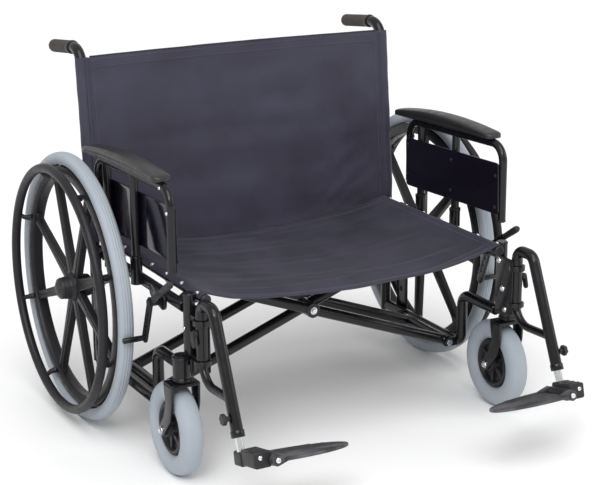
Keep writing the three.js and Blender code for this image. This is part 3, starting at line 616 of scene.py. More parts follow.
def oval_profile(outer, bed, half, count, power, grooves=(), depth=0.0):
    """A tyre's section: a full oval from the bed to the tread, with round grooves across it."""
    middle = (outer + bed) / 2
    reach = (outer - bed) / 2
    profile = []
    for i in range(count):
        angle = 2 * math.pi * i / count
        c, s = math.cos(angle), math.sin(angle)
        radius = middle + reach * math.copysign(abs(c) ** (2 / power), c)
        along = half * math.copysign(abs(s) ** (2 / power), s)
        if c > 0:
            radius -= sum(depth * math.exp(-((along - groove) / GROOVE_HALF) ** 2) for groove in grooves)
        profile.append((radius, along))
    return profile


def rear_tyre(bm):
    profile = oval_profile(TYRE_OUTER, TYRE_BED, TYRE_HALF, 80, 2.2, grooves=(-6, 0, 6), depth=1.0)
    add_lathe(bm, profile, at(WHEEL_X, 0, WHEEL_Z), segments=ROUND)


def spoke_outline():
    """Half-widths of a spoke from hub to rim, flaring into both."""
    halves = [(24, 19), (31, 15.5), (42, 13.6), (120, 11.4), (215, 9.3)]
    halves += [(234, 9.8), (244, 12.5), (250, 17.5), (254, 24)]
    return [(r, -half) for r, half in halves] + [(r, half) for r, half in reversed(halves)]


def about_axle(angle):
    """Turns a plate drawn about the axle by an angle, then puts it in the wheel."""
    return Matrix.Translation((WHEEL_X, 0, WHEEL_Z)) @ Matrix.Rotation(angle, 4, "X")


def spoke_angles(side):
    phase = math.radians(SPOKE_PHASE[side])
    return [2 * math.pi * i / SPOKES - phase for i in range(SPOKES)]


def rear_wheel(bm, side):
    centre = at(WHEEL_X, 0, WHEEL_Z)
    half_rim = [(249, 6), (249.6, 11), (252, 14.6), (258, 16), (268, 15.2), (274.2, 12), (275, 8)]
    add_lathe(bm, both_ways(half_rim), centre, segments=ROUND)
    half_hub = [(33, 9), (32, 12), (28, 15), (26, 21), (25, 29), (23.5, 32), (21, 33), (7, 33)]
    add_lathe(bm, both_ways(half_hub), centre, segments=48)
    rib = [(30, -6.5), (240, -4), (240, 4), (30, 6.5)]
    for angle in spoke_angles(side):
        add_plate(bm, [spoke_outline()], -8.2, 8.2, 2.6, move=about_axle(angle))
        add_plate(bm, [rib], -10, 10, 1.6, move=about_axle(angle))


def handrim(bm, side):
    turns = np.linspace(0, 2 * math.pi, 24, False)
    ring = [(RING_RADIUS + RING_TUBE * math.cos(a), RING_OFFSET + RING_TUBE * math.sin(a)) for a in turns]
    centre = at(WHEEL_X, 0, WHEEL_Z)
    add_lathe(bm, ring, centre, segments=ROUND)
    for angle in spoke_angles(side):
        outward = Vector((0, math.cos(angle), math.sin(angle)))
        foot = centre + (outward * 256 + Vector((18, 0, 0))) * MM
        knee = centre + (outward * 259 + Vector((31, 0, 0))) * MM
        head = centre + (outward * 270 + Vector((40, 0, 0))) * MM
        add_sweep(bm, [foot, knee, head], [7.5 * MM, 5.5 * MM, 5 * MM], 16)


def hub_cap(bm):
    profile = [(0, 47.3), (5, 47.1), (10, 46.3), (13, 45.2), (14, 43.2), (19, 42), (22, 40), (24, 36.5)]
    profile += [(24.5, 33.3), (12, 33.3), (12, 40.8), (0, 40.8)]
    add_lathe(bm, profile, at(WHEEL_X, 0, WHEEL_Z), segments=48)


make_pair("tyre", rear_tyre, "wheel", RUBBER, "rear_tyre")
make_pair("moulded_wheel", rear_wheel, "wheel", NYLON, "rear_wheel", per_side=True)
make_pair("push_ring", handrim, "wheel", NYLON, "handrim", per_side=True)
make_pair("axle_cap", hub_cap, "wheel", PLASTIC, "hub_cap")

# ------------------------------------------------------------------ casters


def caster_tyre(bm):
    profile = oval_profile(101.5, 56.6, 24, 56, 2.3, grooves=(-15, 15), depth=0.7)
    add_lathe(bm, profile, at(CASTER_X, CASTER_Y, CASTER_Z), segments=96)


def caster_wheel(bm):
    centre = at(CASTER_X, CASTER_Y, CASTER_Z)
    half = [(56.2, 8), (56, 13), (53, 15.6), (48, 15.8), (45.5, 13.5), (43, 7)]
    half += [(20, 6), (17.5, 9), (16, 23), (14, 25.5), (5.6, 25.8)]
    add_lathe(bm, both_ways(half), centre, segments=72)
    middle = Matrix.Translation((CASTER_X, CASTER_Y, CASTER_Z))
    for i in range(6):
        move = middle @ Matrix.Rotation(math.pi * (2 * i + 1) / 6, 4, "X")
        add_plate(bm, [[(14, -6), (47, -3.4), (47, 3.4), (14, 6)]], -12.5, 12.5, 1.4, move=move)


def caster_fork(bm):
    crown = rounded(CASTER_X - 33, CASTER_X + 33, STEM_Y - 20, STEM_Y + 24, 5)
    add_plate(bm, [crown], 208.5, 216.5, 2.2, "Z")
    foot = arc((CASTER_Y, CASTER_Z), 13, 205, 385, 14)
    leg = [(STEM_Y - 19, 214.5), (STEM_Y - 17, 170), (STEM_Y - 8, 135), *foot, (STEM_Y + 24, 140)]
    leg += [(STEM_Y + 14, 170), (STEM_Y + 22, 214.5)]
    for low in (CASTER_X - 33, CASTER_X + 28):
        add_plate(bm, [leg, circle((CASTER_Y, CASTER_Z), 5.4)], low, low + 5, 1.4)
    bearing = [(0, 215), (15, 215), (15.5, 216.5), (15.5, 218.4), (8, 218.6), (8, 266), (0, 266)]
    add_lathe(bm, bearing, at(CASTER_X, STEM_Y, 0), UP, segments=40)


def caster_axle(bm):
    centre = at(CASTER_X, CASTER_Y, CASTER_Z)
    add_rod(bm, centre, OUTWARD, 5, -38, 38, 24)
    for direction in (-1, 1):
        axis = OUTWARD * direction
        add_rod(bm, centre, axis, 8, 33.3, 34.6, 28)
        add_hex(bm, centre + axis * 34.4 * MM, axis, 6.4, 4)


make_pair("caster_tread", caster_tyre, "caster", RUBBER, "caster_tyre")
make_pair("caster_hub", caster_wheel, "caster", NYLON, "caster_wheel")
make_pair("caster_yoke", caster_fork, "swivel", PAINT, "caster_fork")
make_pair("caster_bolt", caster_axle, "swivel", CHROME, "caster_axle")

# ------------------------------------------------------------------ side frames


def collar(bm, low, high):
    """A ring the hanger turns in, with the web that carries it on the post."""
    profile = [(13.2, low), (17.3, low), (18, low + 0.8), (18, high - 0.8), (17.3, high), (13.2, high)]
    add_lathe(bm, profile, at(HANGER_X, HANGER_PIVOT_Y, 0), UP, segments=40)
    web = rounded(POST_X - 6, POST_X + 6, HANGER_PIVOT_Y + 15, STEM_Y - 8, 1.5, 3)
    add_plate(bm, [web], low, high, 0.8, "Z")


SIDE_TUBE_Z = 372
LOWER_TUBE_Z = 113
LUG = 10.5  # radius of the lugs that hold the braces' lower pins
PLATE_FACE = POST_X - TUBE - 4  # inner face of the plate that closes the space between post and hanger


def front_post(bm):
    add_tube(bm, [at(POST_X, STEM_Y, 236), at(POST_X, STEM_Y, 402)], TUBE)
    cap = [(0, 400), (13.1, 400), (13.1, 403), (11, 405), (0, 405)]
    add_lathe(bm, cap, at(POST_X, STEM_Y, 0), UP, 32)
    housing = [(0, 276), (12, 276), (15, 275.5), (16, 273), (19, 272), (20, 271), (20, 265.5), (18.6, 264)]
    housing += [(18.6, 226.5), (20, 225), (20, 220), (19, 219), (8.6, 219), (8.6, 268), (0, 268)]
    add_lathe(bm, housing, at(CASTER_X, STEM_Y, 0), UP, 40)
    for low, high in ((268, 278), (352, 364)):
        collar(bm, low, high)
    hinge_plate = rounded(HANGER_PIVOT_Y - 5, STEM_Y - 2, 246, 378, 7)
    add_plate(bm, [hinge_plate], PLATE_FACE, PLATE_FACE + 3.7, 0.9)
    add_plate(bm, [rounded(STEM_Y - 10, STEM_Y - 2, 247, 377, 1, 2)], PLATE_FACE + 2, POST_X - 6, 0.5)


def post_bolts(bm):
    """Bright bolt heads on the hinge plate and small ones on the post's outer face."""
    inward = -OUTWARD
    for y, z in ((STEM_Y - 30, 304), (STEM_Y - 14, 366), (STEM_Y - 40, 258)):
        spot = at(PLATE_FACE, y, z)
        add_rod(bm, spot, inward, 6.6, 0, 1.2, 24)
        add_hex(bm, spot + inward * 1.0 * MM, inward, 5.2, 3.6)
    for z in (258, 330):
        add_screw_head(bm, at(POST_X + TUBE - 0.6, STEM_Y, z), OUTWARD, 4.5, 3)


def lower_tube(bm):
    corners = [at(FRAME_X, STEM_Y + 20.3, 236), at(FRAME_X, -293, 236), at(FRAME_X, -293, LOWER_TUBE_Z)]
    corners.append(at(FRAME_X, CANE_BOTTOM[0] - TUBE - 0.3, LOWER_TUBE_Z))
    add_tube(bm, corners, TUBE, 28)
    for y0, y1 in ((-286, -280), (-58, -52)):
        lug = arc((RAIL_X, BRACE_LOW_Z), LUG, 90, 270)
        lug += [(FRAME_X - 4, BRACE_LOW_Z - LUG), (FRAME_X - 4, BRACE_LOW_Z + LUG)]
        add_plate(bm, [lug], y0, y1, 1, "Y")


def brace_pins(bm):
    for y0, y1, direction in ((-289, -265, -1), (-73, -49, 1)):
        add_tube(bm, [at(RAIL_X, y0, BRACE_LOW_Z), at(RAIL_X, y1, BRACE_LOW_Z)], 5, sides=20, chamfer=0.6)
        face = y0 + 3 if direction < 0 else y1 - 3
        add_hex(bm, at(RAIL_X, face, BRACE_LOW_Z), REARWARD * direction, 8.5, 5)


def side_tube(bm):
    front = at(FRAME_X, STEM_Y + TUBE + 0.3, SIDE_TUBE_Z)
    back = at(FRAME_X, CANE_KNEE[0] - TUBE - 0.8, SIDE_TUBE_Z)
    add_tube(bm, [front, back], TUBE)
    for y in ARM_POST_YS:
        socket = [(9.9, 383), (9.9, 428), (12.8, 428), (13.5, 427.3)]
        socket += [(13.5, 422), (12.9, 421), (12.9, 366), (9.9, 366)]
        add_lathe(bm, socket, at(ARM_X, y, 0), UP, 36)
    for y in (-408, -6):
        notch = arc((RAIL_X, RAIL_Z), 11.6, 190, 350, 14)
        saddle = [(RAIL_X - 13, 390), *notch, (RAIL_X + 13, 390)]
        saddle += [(FRAME_X - 2, 380), (FRAME_X - 2, 369), (RAIL_X - 13, 369)]
        add_plate(bm, [saddle], y - 12, y + 12, 1, "Y")


def back_cane(bm):
    end = at(FRAME_X, HANDLE_END[0] - 20, HANDLE_END[1] - 20 * HANDLE_RISE)
    corners = [at(FRAME_X, *CANE_BOTTOM), at(FRAME_X, *CANE_KNEE), at(FRAME_X, *CANE_TOP), end]
    add_tube(bm, corners, TUBE, 42, sides=28)


def push_grip(bm):
    """A ribbed sleeve with a flanged inner end and a rounded outer end."""
    start_z = CANE_TOP[1] + (HANDLE_START_Y - CANE_TOP[0]) * HANDLE_RISE
    start = Vector((HANDLE_START_Y, start_z))
    end = Vector(HANDLE_END)
    length = (end - start).length
    profile = [(0, length), (9, length - 0.4), (12.5, length - 2), (14.4, length - 5), (15, length - 9)]
    ribs = 13
    pitch = (length - 26) / ribs
    for i in range(ribs):
        top = length - 12 - i * pitch
        rib = ((15, 0), (14.8, 0.2), (13.9, 0.32), (13.9, 0.68), (14.8, 0.8))
        profile += [(radius, top - part * pitch) for radius, part in rib]
    profile += [(15, 12), (15, 6), (15.9, 4.5), (15.9, 1), (15.2, 0), (13.1, 0)]
    profile += [(13.1, length - 15), (0, length - 15)]
    axis = Vector((0, *(end - start)))
    add_lathe(bm, profile, at(FRAME_X, *start), axis, segments=40)


def axle_plate(bm):
    holes = [circle((0, z), 5, 16) for z in (165, 200, 235, 270, 340)]
    outline = rounded(-20, 22, 98, 386, 8)
    add_plate(bm, [outline, circle((0, WHEEL_Z), 6.8, 20), *holes], 403.1, 410.1, 1.2)


def plate_bolts(bm):
    """Bright hexagon bolts that clamp the axle plate to the frame."""
    for y, z in ((0, 116), (0, 372)):
        add_rod(bm, at(409.6, y, z), OUTWARD, 10, 0, 1.4, 28)
        add_hex(bm, at(410.9, y, z), OUTWARD, 8, 5)


def axle_bolt(bm):
    centre = at(0, 0, WHEEL_Z)
    add_rod(bm, centre, OUTWARD, 6.3, 389.5, 496, 28)
    add_hex(bm, centre + Vector((392, 0, 0)) * MM, OUTWARD, 11, 10.6)
    add_rod(bm, centre, OUTWARD, 11, 410.4, 426.6, 32)
    add_hex(bm, centre + Vector((493.4, 0, 0)) * MM, OUTWARD, 9.5, 4.6)


make_pair("post", front_post, "frame", PAINT, "front_post")
make_pair("post_bolts", post_bolts, "frame", CHROME)
make_pair("lower_rail", lower_tube, "frame", PAINT, "lower_tube")
make_pair("brace_pins", brace_pins, "frame", CHROME)
make_pair("side_rail", side_tube, "frame", PAINT, "side_tube")
make_pair("cane", back_cane, "frame", PAINT, "back_cane")
make_pair("grip", push_grip, "frame", VINYL, "push_grip")
make_pair("wheel_plate", axle_plate, "frame", PAINT, "axle_plate")
make_pair("plate_bolts", plate_bolts, "frame", CHROME)
make_pair("wheel_bolt", axle_bolt, "frame", CHROME, "axle_bolt")

# ------------------------------------------------------------------ wheel locks


def lerp(a, b, part):
    return tuple(u + (v - u) * part for u, v in zip(a, b))


def lock_bracket(bm):
    low = (LOCK_PIVOT[0] - 20, LOCK_PIVOT[1] + 2)
    high = (LOCK_PIVOT[0] + 28, LOCK_PIVOT[1] + 14)
    add_plate(bm, [bar(low, high, 16)], 403.1, 409.1, 1.2)
    axis = at(0, *LOCK_PIVOT)
    pin = [(0, 408), (9, 408), (9, 423.2), (5, 423.2)]
    pin += [(5, 429.1), (8, 429.1), (8, 431), (6, 432.4), (0, 432.4)]
    add_lathe(bm, pin, axis, segments=32)


def lock_lever(bm):
    holes = [circle(lerp(LOCK_PIVOT, LOCK_SHOE, part), 4, 14) for part in (0.34, 0.54, 0.74)]
    strip = bar(LOCK_PIVOT, LOCK_SHOE, 11)
    add_plate(bm, [strip, circle(LOCK_PIVOT, 5.5, 18), *holes], LOCK_INNER, LOCK_OUTER, 0.9)
    neck = lerp(LOCK_PIVOT, LOCK_TIP, 0.55)
    add_plate(bm, [bar(lerp(LOCK_PIVOT, LOCK_TIP, 0.13), neck, 7.5)], LOCK_INNER, LOCK_OUTER, 0.9)
    shoe = [(0, LOCK_INNER + 1), (6, LOCK_INNER + 1), (6, 440)]
    shoe += [(6.2, 441), (6.2, 474), (5.2, 476), (0, 476)]
    add_lathe(bm, shoe, at(0, *LOCK_SHOE), segments=28)


def lock_grip(bm):
    """The moulded grip on the lock's handle."""
    middle = (LOCK_INNER + LOCK_OUTER) / 2
    neck = at(middle, *lerp(LOCK_PIVOT, LOCK_TIP, 0.55))
    tip = at(middle, *LOCK_TIP)
    along = (tip - neck).normalized()
    length = (tip - neck).length / MM
    profile = [(0, 0), (5.5, 0), (6.8, 1.5), (7.4, 12), (8, length * 0.6)]
    profile += [(7.8, length - 7), (6, length - 2), (0, length)]
    add_lathe(bm, profile, neck, along, segments=28)


make_pair("lock_bracket_look", lock_bracket, "frame", PAINT, "lock_bracket")
make_pair("lock_arm", lock_lever, "lock", PAINT, "lock_lever")
make_pair("lock_grip", lock_grip, "lock", PLASTIC)

# ------------------------------------------------------------------ armrests

ARM_BACK = (-28, 601)
ARM_FRONT = (-418, 615)
ARM_BACK_FOOT = 455
ARM_FRONT_FOOT = 442
ARM_RISE = (ARM_FRONT[1] - ARM_BACK[1]) / (ARM_BACK[0] - ARM_FRONT[0])
PAD_BACK = (22, 622)
PAD_CROWN = (-184, 661)
PAD_FRONT = (-388, 636)
PAD_HALF = 22
PANEL_MIDDLE = (-225.5, 509)


def arm_top(y):
    return ARM_BACK[1] + ARM_RISE * (ARM_BACK[0] - y)


def arm_frame(bm):
    corners = (ARM_BACK[0], ARM_BACK_FOOT), ARM_BACK, ARM_FRONT, (ARM_FRONT[0], ARM_FRONT_FOOT)
    add_tube(bm, [at(ARM_X, *corner) for corner in corners], ARM_TUBE, 38)
    for y in ARM_POST_YS:
        add_tube(bm, [at(ARM_X, y, 383.4), at(ARM_X, y, arm_top(y))], ARM_TUBE)


def arm_plugs(bm):
    """Plastic plugs in the two open ends of the arm loop."""
    for y, z in ((ARM_BACK[0], ARM_BACK_FOOT), (ARM_FRONT[0], ARM_FRONT_FOOT)):
        plug = [(0, z - 4), (8, z - 4), (9.8, z - 2.5), (9.8, z + 1.5), (0, z + 1.5)]
        add_lathe(bm, plug, at(ARM_X, y, 0), UP, 28)


def arm_screws(bm):
    """Bright bolt heads on the outer side of the arm loop's front bend, and one at its back."""
    for y, z in ((ARM_FRONT[0] + 1, 566), (ARM_FRONT[0] + 34, 612), (ARM_BACK[0], 560)):
        add_screw_head(bm, at(ARM_X + ARM_TUBE - 0.5, y, z), OUTWARD, 4.2, 2.6)


def panel_rivets(bm):
    """Black rivets that hold the panel to the arm tubes."""
    for y in (ARM_BACK[0] - 12, ARM_POST_YS[1], ARM_FRONT[0] + 9):
        for z in (472, 545):
            add_screw_head(bm, at(392.7, y, z), -OUTWARD, 4.5, 2)


def side_panel(bm):
    outline = rounded(-194.5, 194.5, -59, 59, 9)
    move = Matrix.Translation((0, *PANEL_MIDDLE)) @ Matrix.Rotation(-math.atan(ARM_RISE), 4, "X")
    add_plate(bm, [outline], 392.6, 396.2, 1.1, move=move)


def arm_pad(bm):
    """A crowned pad: a waist line along each side, a rolled front edge and a rounded back."""
    count = 60
    loops = []
    for i in range(count + 1):
        t = i / count
        y = PAD_BACK[0] + (PAD_FRONT[0] - PAD_BACK[0]) * t
        top = (1 - t) ** 2 * PAD_BACK[1] + 2 * t * (1 - t) * PAD_CROWN[1] + t * t * PAD_FRONT[1]
        under = arm_top(y) + ARM_TUBE + 0.3
        from_end = min(t, 1 - t) * (PAD_BACK[0] - PAD_FRONT[0])
        ease = math.sqrt(max(0.0, 1 - (1 - min(from_end / 16, 1)) ** 2))
        half = PAD_HALF * (0.45 + 0.55 * ease)
        middle = under + (top - under) * 0.42
        top = middle + (top - middle) * (0.35 + 0.65 * ease)
        loops.append(ring_loop(bm, pad_section(y, half, under, top)))
    for first, second in zip(loops, loops[1:]):
        bridge(bm, first, second)
    bm.faces.new(list(reversed(loops[0])))
    bm.faces.new(loops[-1])


def pad_section(y, half, under, top):
    """One cross-section of the pad: flat below, a groove round the side, rounded over the top."""
    height = top - under
    side = [(0, 0), (0.8, 0), (0.95, 0.04), (1, 0.14), (1, 0.3), (0.955, 0.36), (0.955, 0.42), (1, 0.48)]
    side += [(0.99, 0.62), (0.95, 0.76), (0.86, 0.88), (0.7, 0.95), (0.45, 0.985), (0.2, 0.998), (0, 1)]
    right = [(ARM_X + u * half, under + v * height) for u, v in side]
    left = [(ARM_X - u * half, under + v * height) for u, v in reversed(side[1:-1])]
    return [at(x, y, z) for x, z in right + left]


make_pair("arm_loop", arm_frame, "armrest", PAINT, "arm_frame")
make_pair("arm_plugs", arm_plugs, "armrest", PLASTIC)
make_pair("arm_screws", arm_screws, "armrest", CHROME)
make_pair("panel_rivets", panel_rivets, "armrest", PLASTIC)
make_pair("clothing_guard", side_panel, "armrest", PANEL, "side_panel")
for pad in make_pair("arm_cushion", arm_pad, "armrest", PAD_SKIN, "arm_pad"):
    smoother = pad.modifiers.new("smooth", "SUBSURF")
    smoother.levels = smoother.render_levels = 1

# ------------------------------------------------------------------ footrests

HANGER_FACE = HANGER_X + TUBE + 0.3  # the outer side of the hanger's tube


def hanger(bm):
    loop = (HANGER_PIVOT_Y, 262), (HANGER_PIVOT_Y, LEG_TOP[1]), LEG_TOP, LEG_END
    add_tube(bm, [at(HANGER_X, *corner) for corner in loop], TUBE, 24, sides=28)
    strut = (HANGER_PIVOT_Y, 284), (HANGER_PIVOT_Y - 3, 230), (-645, 236)
    add_tube(bm, [at(HANGER_X, *corner) for corner in strut], 9, 48)
    along = (at(HANGER_X, *LEG_END) - at(HANGER_X, *LEG_TOP)).normalized()
    cuff = [(8.9, -14), (13.6, -14), (14.2, -13), (14.2, -1), (13.6, 0), (8.9, 0)]
    add_lathe(bm, cuff, at(HANGER_X, *LEG_END), along, segments=36)


def extension_knob(bm):
    """A round knob with shallow finger lobes on a short stem."""
    lobes = []
    for i in range(60):
        turn = 2 * math.pi * i / 60
        radius = 11.2 + 0.8 * math.cos(6 * turn)
        lobes.append((KNOB[0] + radius * math.cos(turn), KNOB[1] + radius * math.sin(turn)))
    add_plate(bm, [lobes], HANGER_FACE + 8, HANGER_FACE + 17, 2)
    add_rod(bm, at(0, *KNOB), OUTWARD, 5.2, HANGER_FACE, HANGER_FACE + 8.5, 24)


def release_lever(bm):
    boss = (HANGER_PIVOT_Y, 336)
    tip = (HANGER_PIVOT_Y - 6, 316)
    add_rod(bm, at(0, *boss), OUTWARD, 8, HANGER_FACE, HANGER_FACE + 6, 28)
    add_plate(bm, [bar(boss, tip, 7)], HANGER_FACE + 5, HANGER_FACE + 11, 1.6)


def foot_place():
    """Puts what is drawn about the level footplate hinge where the tilted hinge is."""
    return Matrix.Translation(FOOT_HINGE) @ Matrix.Rotation(-FOOT_TILT, 4, "X")


def extension_tube(bm):
    end = at(HANGER_X, *LEG_END)
    along = (end - at(HANGER_X, *LEG_TOP)).normalized()
    add_tube(bm, [end - along * 105 * MM, end + along * 35 * MM], 8.5, sides=28)


def foot_clamp(bm):
    """The cast bracket at the tube's foot, which holds the footplate's hinge pin."""
    place = foot_place()
    half = KNUCKLE_HALF
    add_plate(bm, [rounded(6, 43, -13, 20, 5)], -half, half, 2, "Y", move=place)
    add_plate(bm, [rounded(24, 45, -16, 14, 5)], half - 1, 60, 2, "Y", move=place)
    add_plate(bm, [circle((0, 0), 13, 28)], -half, half, 1.5, "Y", move=place)
    for y in (-18, 0, 18):
        add_plate(bm, [rounded(12, 40, 18, 21, 1.4, 2)], y - 2, y + 2, 0.6, "Y", move=place)


def foot_pin(bm):
    """The hinge pin with its two domed heads, and the clamp's own bright screw."""
    turn = Matrix.Rotation(-FOOT_TILT, 3, "X")
    along = turn @ REARWARD
    middle = at(*FOOT_HINGE)
    reach = KNUCKLE_HALF + 18
    add_rod(bm, middle, along, 5, -reach, reach, 24)
    for direction in (-1, 1):
        add_screw_head(bm, middle + along * direction * (reach - 1) * MM, along * direction, 6, 4)
    screw = middle + turn @ Vector((30, -KNUCKLE_HALF, 8)) * MM
    add_screw_head(bm, screw, -along, 5, 3)


TREAD_INNER = -178
TREAD_OUTER = -15
TREAD_HALF = 52
TREAD_POINT = 145


def tread_tip():
    """The leaf-shaped inner end of the footplate."""
    base = TREAD_INNER + TREAD_POINT
    turns = np.linspace(0, math.pi, 36)
    return [(base - TREAD_POINT * math.sin(a), TREAD_HALF * math.cos(a)) for a in turns]


def footplate(bm):
    """A thin tread with a rolled edge, raised grip ribs and two hinge ears."""
    place = foot_place() @ Matrix.Rotation(-FOOT_DROOP, 4, "Y")
    outline = [(TREAD_OUTER, -TREAD_HALF), (TREAD_OUTER, TREAD_HALF), *tread_tip()]
    add_plate(bm, [outline], -3, 3, 1.8, "Z", move=place)
    for y in range(-40, 41, 10):
        reach = TREAD_INNER + TREAD_POINT * (1 - math.sqrt(1 - (y / TREAD_HALF) ** 2)) + 12
        rib = bar((reach, y), (TREAD_OUTER - 14, y), 1.3, 4)
        add_plate(bm, [rib], 2.5, 3.9, 0.5, "Z", move=place)
    for direction in (-1, 1):
        low, high = sorted((direction * (KNUCKLE_HALF + 1), direction * (KNUCKLE_HALF + 16)))
        ear = arc((0, 0), 12, -90, 90, 14) + [(-26, 4.5), (-26, -3)]
        add_plate(bm, [ear, circle((0, 0), 5.4, 18)], low, high, 1, "Y", move=place)


make_pair("hanger_look", hanger, "hanger", PAINT, "hanger")
make_pair("length_knob", extension_knob, "knob", PLASTIC, "extension_knob")
make_pair("latch", release_lever, "release", PLASTIC, "release_lever")
make_pair("inner_tube", extension_tube, "extension", CHROME, "foot_extension")
make_pair("foot_clamp", foot_clamp, "extension", PLASTIC)
make_pair("foot_pin", foot_pin, "extension", CHROME)
make_pair("tread_plate", footplate, "footplate", TREAD, "footplate")

# ------------------------------------------------------------------ cross braces


def cross_brace(bm, side, ys):
    for y in ys:
        foot = at(-side * RAIL_X, y, BRACE_LOW_Z)
        head = at(side * RAIL_X, y, BRACE_HIGH_Z)
        short = (foot - head).normalized() * 9 * MM
        add_tube(bm, [foot, head + short], TUBE, chamfer=3)
        middle = (foot + head) / 2
        boss = [(5.4, -13.2), (17, -13.2), (17, 13.2), (5.4, 13.2)]
        add_lathe(bm, boss, middle, REARWARD, 32)
    sleeve = [(5.4, -279), (12, -279), (13, -278), (13, -60), (12, -59), (5.4, -59)]
    add_lathe(bm, sleeve, at(-side * RAIL_X, 0, BRACE_LOW_Z), REARWARD, 32)


def pivot_bolt(bm, left_y, right_y):
    middle = (BRACE_LOW_Z + BRACE_HIGH_Z) / 2
    front = min(left_y, right_y) - TUBE
    back = max(left_y, right_y) + TUBE
    centre = at(0, 0, middle)
    add_rod(bm, centre, REARWARD, 5, front - 2, back + 2, 24)
    for y, direction in ((front - 1, -1), (back + 1, 1)):
        add_rod(bm, at(0, y, middle), REARWARD * direction, 8.5, 0, 1.4, 28)
        add_hex(bm, at(0, y + direction * 1.2, middle), REARWARD * direction, 6.5, 4.6)


def seat_rail(bm):
    add_tube(bm, [at(RAIL_X, RAIL_FRONT, RAIL_Z), at(RAIL_X, RAIL_BACK, RAIL_Z)], 11)


def rail_plugs(bm):
    for y, direction in ((RAIL_FRONT, -1), (RAIL_BACK, 1)):
        plug = [(0, -2), (11.3, -2), (11.3, 1.2), (9.5, 2.8), (0, 3.2)]
        add_lathe(bm, plug, at(RAIL_X, y, RAIL_Z), REARWARD * direction, 28)


for (name, side), ys in zip(SIDES, (LEFT_BRACE_YS, RIGHT_BRACE_YS)):
    brace = f"{name}_rail_brace"
    make(f"{brace}_look", lambda bm: cross_brace(bm, side, ys), brace, PAINT, (brace,))
for place, left_y, right_y in zip(("front", "rear"), LEFT_BRACE_YS, RIGHT_BRACE_YS):
    node = f"{place}_pivot_bolt"
    shape = lambda bm: pivot_bolt(bm, left_y, right_y)
    make(f"{node}_look", shape, "left_rail_brace", CHROME, (node,))
make_pair("rail_tube", seat_rail, "rail_brace", PAINT, "seat_rail")
make_pair("rail_plugs", rail_plugs, "rail_brace", PLASTIC)

# ------------------------------------------------------------------ sling upholstery


def cloth_grid(name, columns, rows, place, material):
    """A grid of cloth; place gives the point for each pair of column and row values."""
    bm = bmesh.new()
    grid = [[bm.verts.new(place(column, row)) for column in columns] for row in rows]
    for lower, upper in zip(grid, grid[1:]):
        for i in range(len(columns) - 1):
            bm.faces.new((lower[i], lower[i + 1], upper[i + 1], upper[i]))
    mesh = bpy.data.meshes.new(name)
    bm.to_mesh(mesh)
    bm.free()
    mesh.shade_smooth()
    mesh.materials.append(material)
    return linked(name, mesh)


def apply_modifiers(piece):
    evaluated = piece.evaluated_get(bpy.context.evaluated_depsgraph_get())
    mesh = bpy.data.meshes.new_from_object(evaluated)
    piece.modifiers.clear()
    piece.data = mesh


def drape(piece, pinned, frames, cap, gravity):
    """Lets the cloth hang from its pinned vertices, each point kept within cap metres of its start."""
    start = np.array([vertex.co for vertex in piece.data.vertices])
    group = piece.vertex_groups.new(name="held")
    group.add(pinned, 1.0, "REPLACE")
    cloth = piece.modifiers.new("cloth", "CLOTH")
    settings = cloth.settings
    settings.quality = 6
    settings.mass = 0.5
    settings.tension_stiffness = 40
    settings.compression_stiffness = 40
    settings.shear_stiffness = 12
    settings.bending_stiffness = 1.5
    settings.vertex_group_mass = "held"
    settings.effector_weights.gravity = gravity
    cloth.collision_settings.use_self_collision = False
    scene = bpy.context.scene
    cloth.point_cache.frame_start = 1
    cloth.point_cache.frame_end = frames
    for number in range(1, frames + 1):
        scene.frame_set(number)
    apply_modifiers(piece)
    scene.frame_set(1)
    now = np.array([vertex.co for vertex in piece.data.vertices])
    moved = now - start
    length = np.linalg.norm(moved, axis=1, keepdims=True)
    share = np.minimum(1.0, cap / np.maximum(length, 1e-9))
    piece.data.vertices.foreach_set("co", (start + moved * share).ravel())
    piece.data.update()


def thickened(piece, thickness):
    """Gives the sheet its thickness and one level of smoothing."""
    solid = piece.modifiers.new("thickness", "SOLIDIFY")
    solid.thickness = thickness
    solid.offset = 0
    smoother = piece.modifiers.new("smooth", "SUBSURF")
    smoother.levels = smoother.render_levels = 1
    apply_modifiers(piece)
    piece.data.shade_smooth()


SEAT_WRAP = 13.0  # radius of the middle of the cloth round a rail
SEAT_LEAVES = math.radians(-13.5)  # where the cloth leaves the rail, from straight up
SEAT_TURN = math.radians(78)  # where the cloth's edge ends, down the rail's outer side
SEAT_SPAN = RAIL_X + SEAT_WRAP * math.sin(SEAT_LEAVES)
SEAT_EDGE_Z = RAIL_Z + SEAT_WRAP * math.cos(SEAT_LEAVES)
SEAT_HEM = 30
HEM_RISE = 0.7
SCREW_PITCH = 76
REAR_LIFT = 5
FIRST_SCREW = RAIL_FRONT + 22
ABOVE = 1000  # a height well over the seat, to look down from


def folds(x, y, across, along, seed):
    """Smooth irregular folds from -1 to 1, so wide across and so long along."""
    return noise.noise(Vector((x / across, y / along, seed)))


def in_hem(distance):
    """1 where the cloth is turned under and double, and 0 further in."""
    return 1 - min(max((distance - SEAT_HEM + 2) / 2, 0), 1)


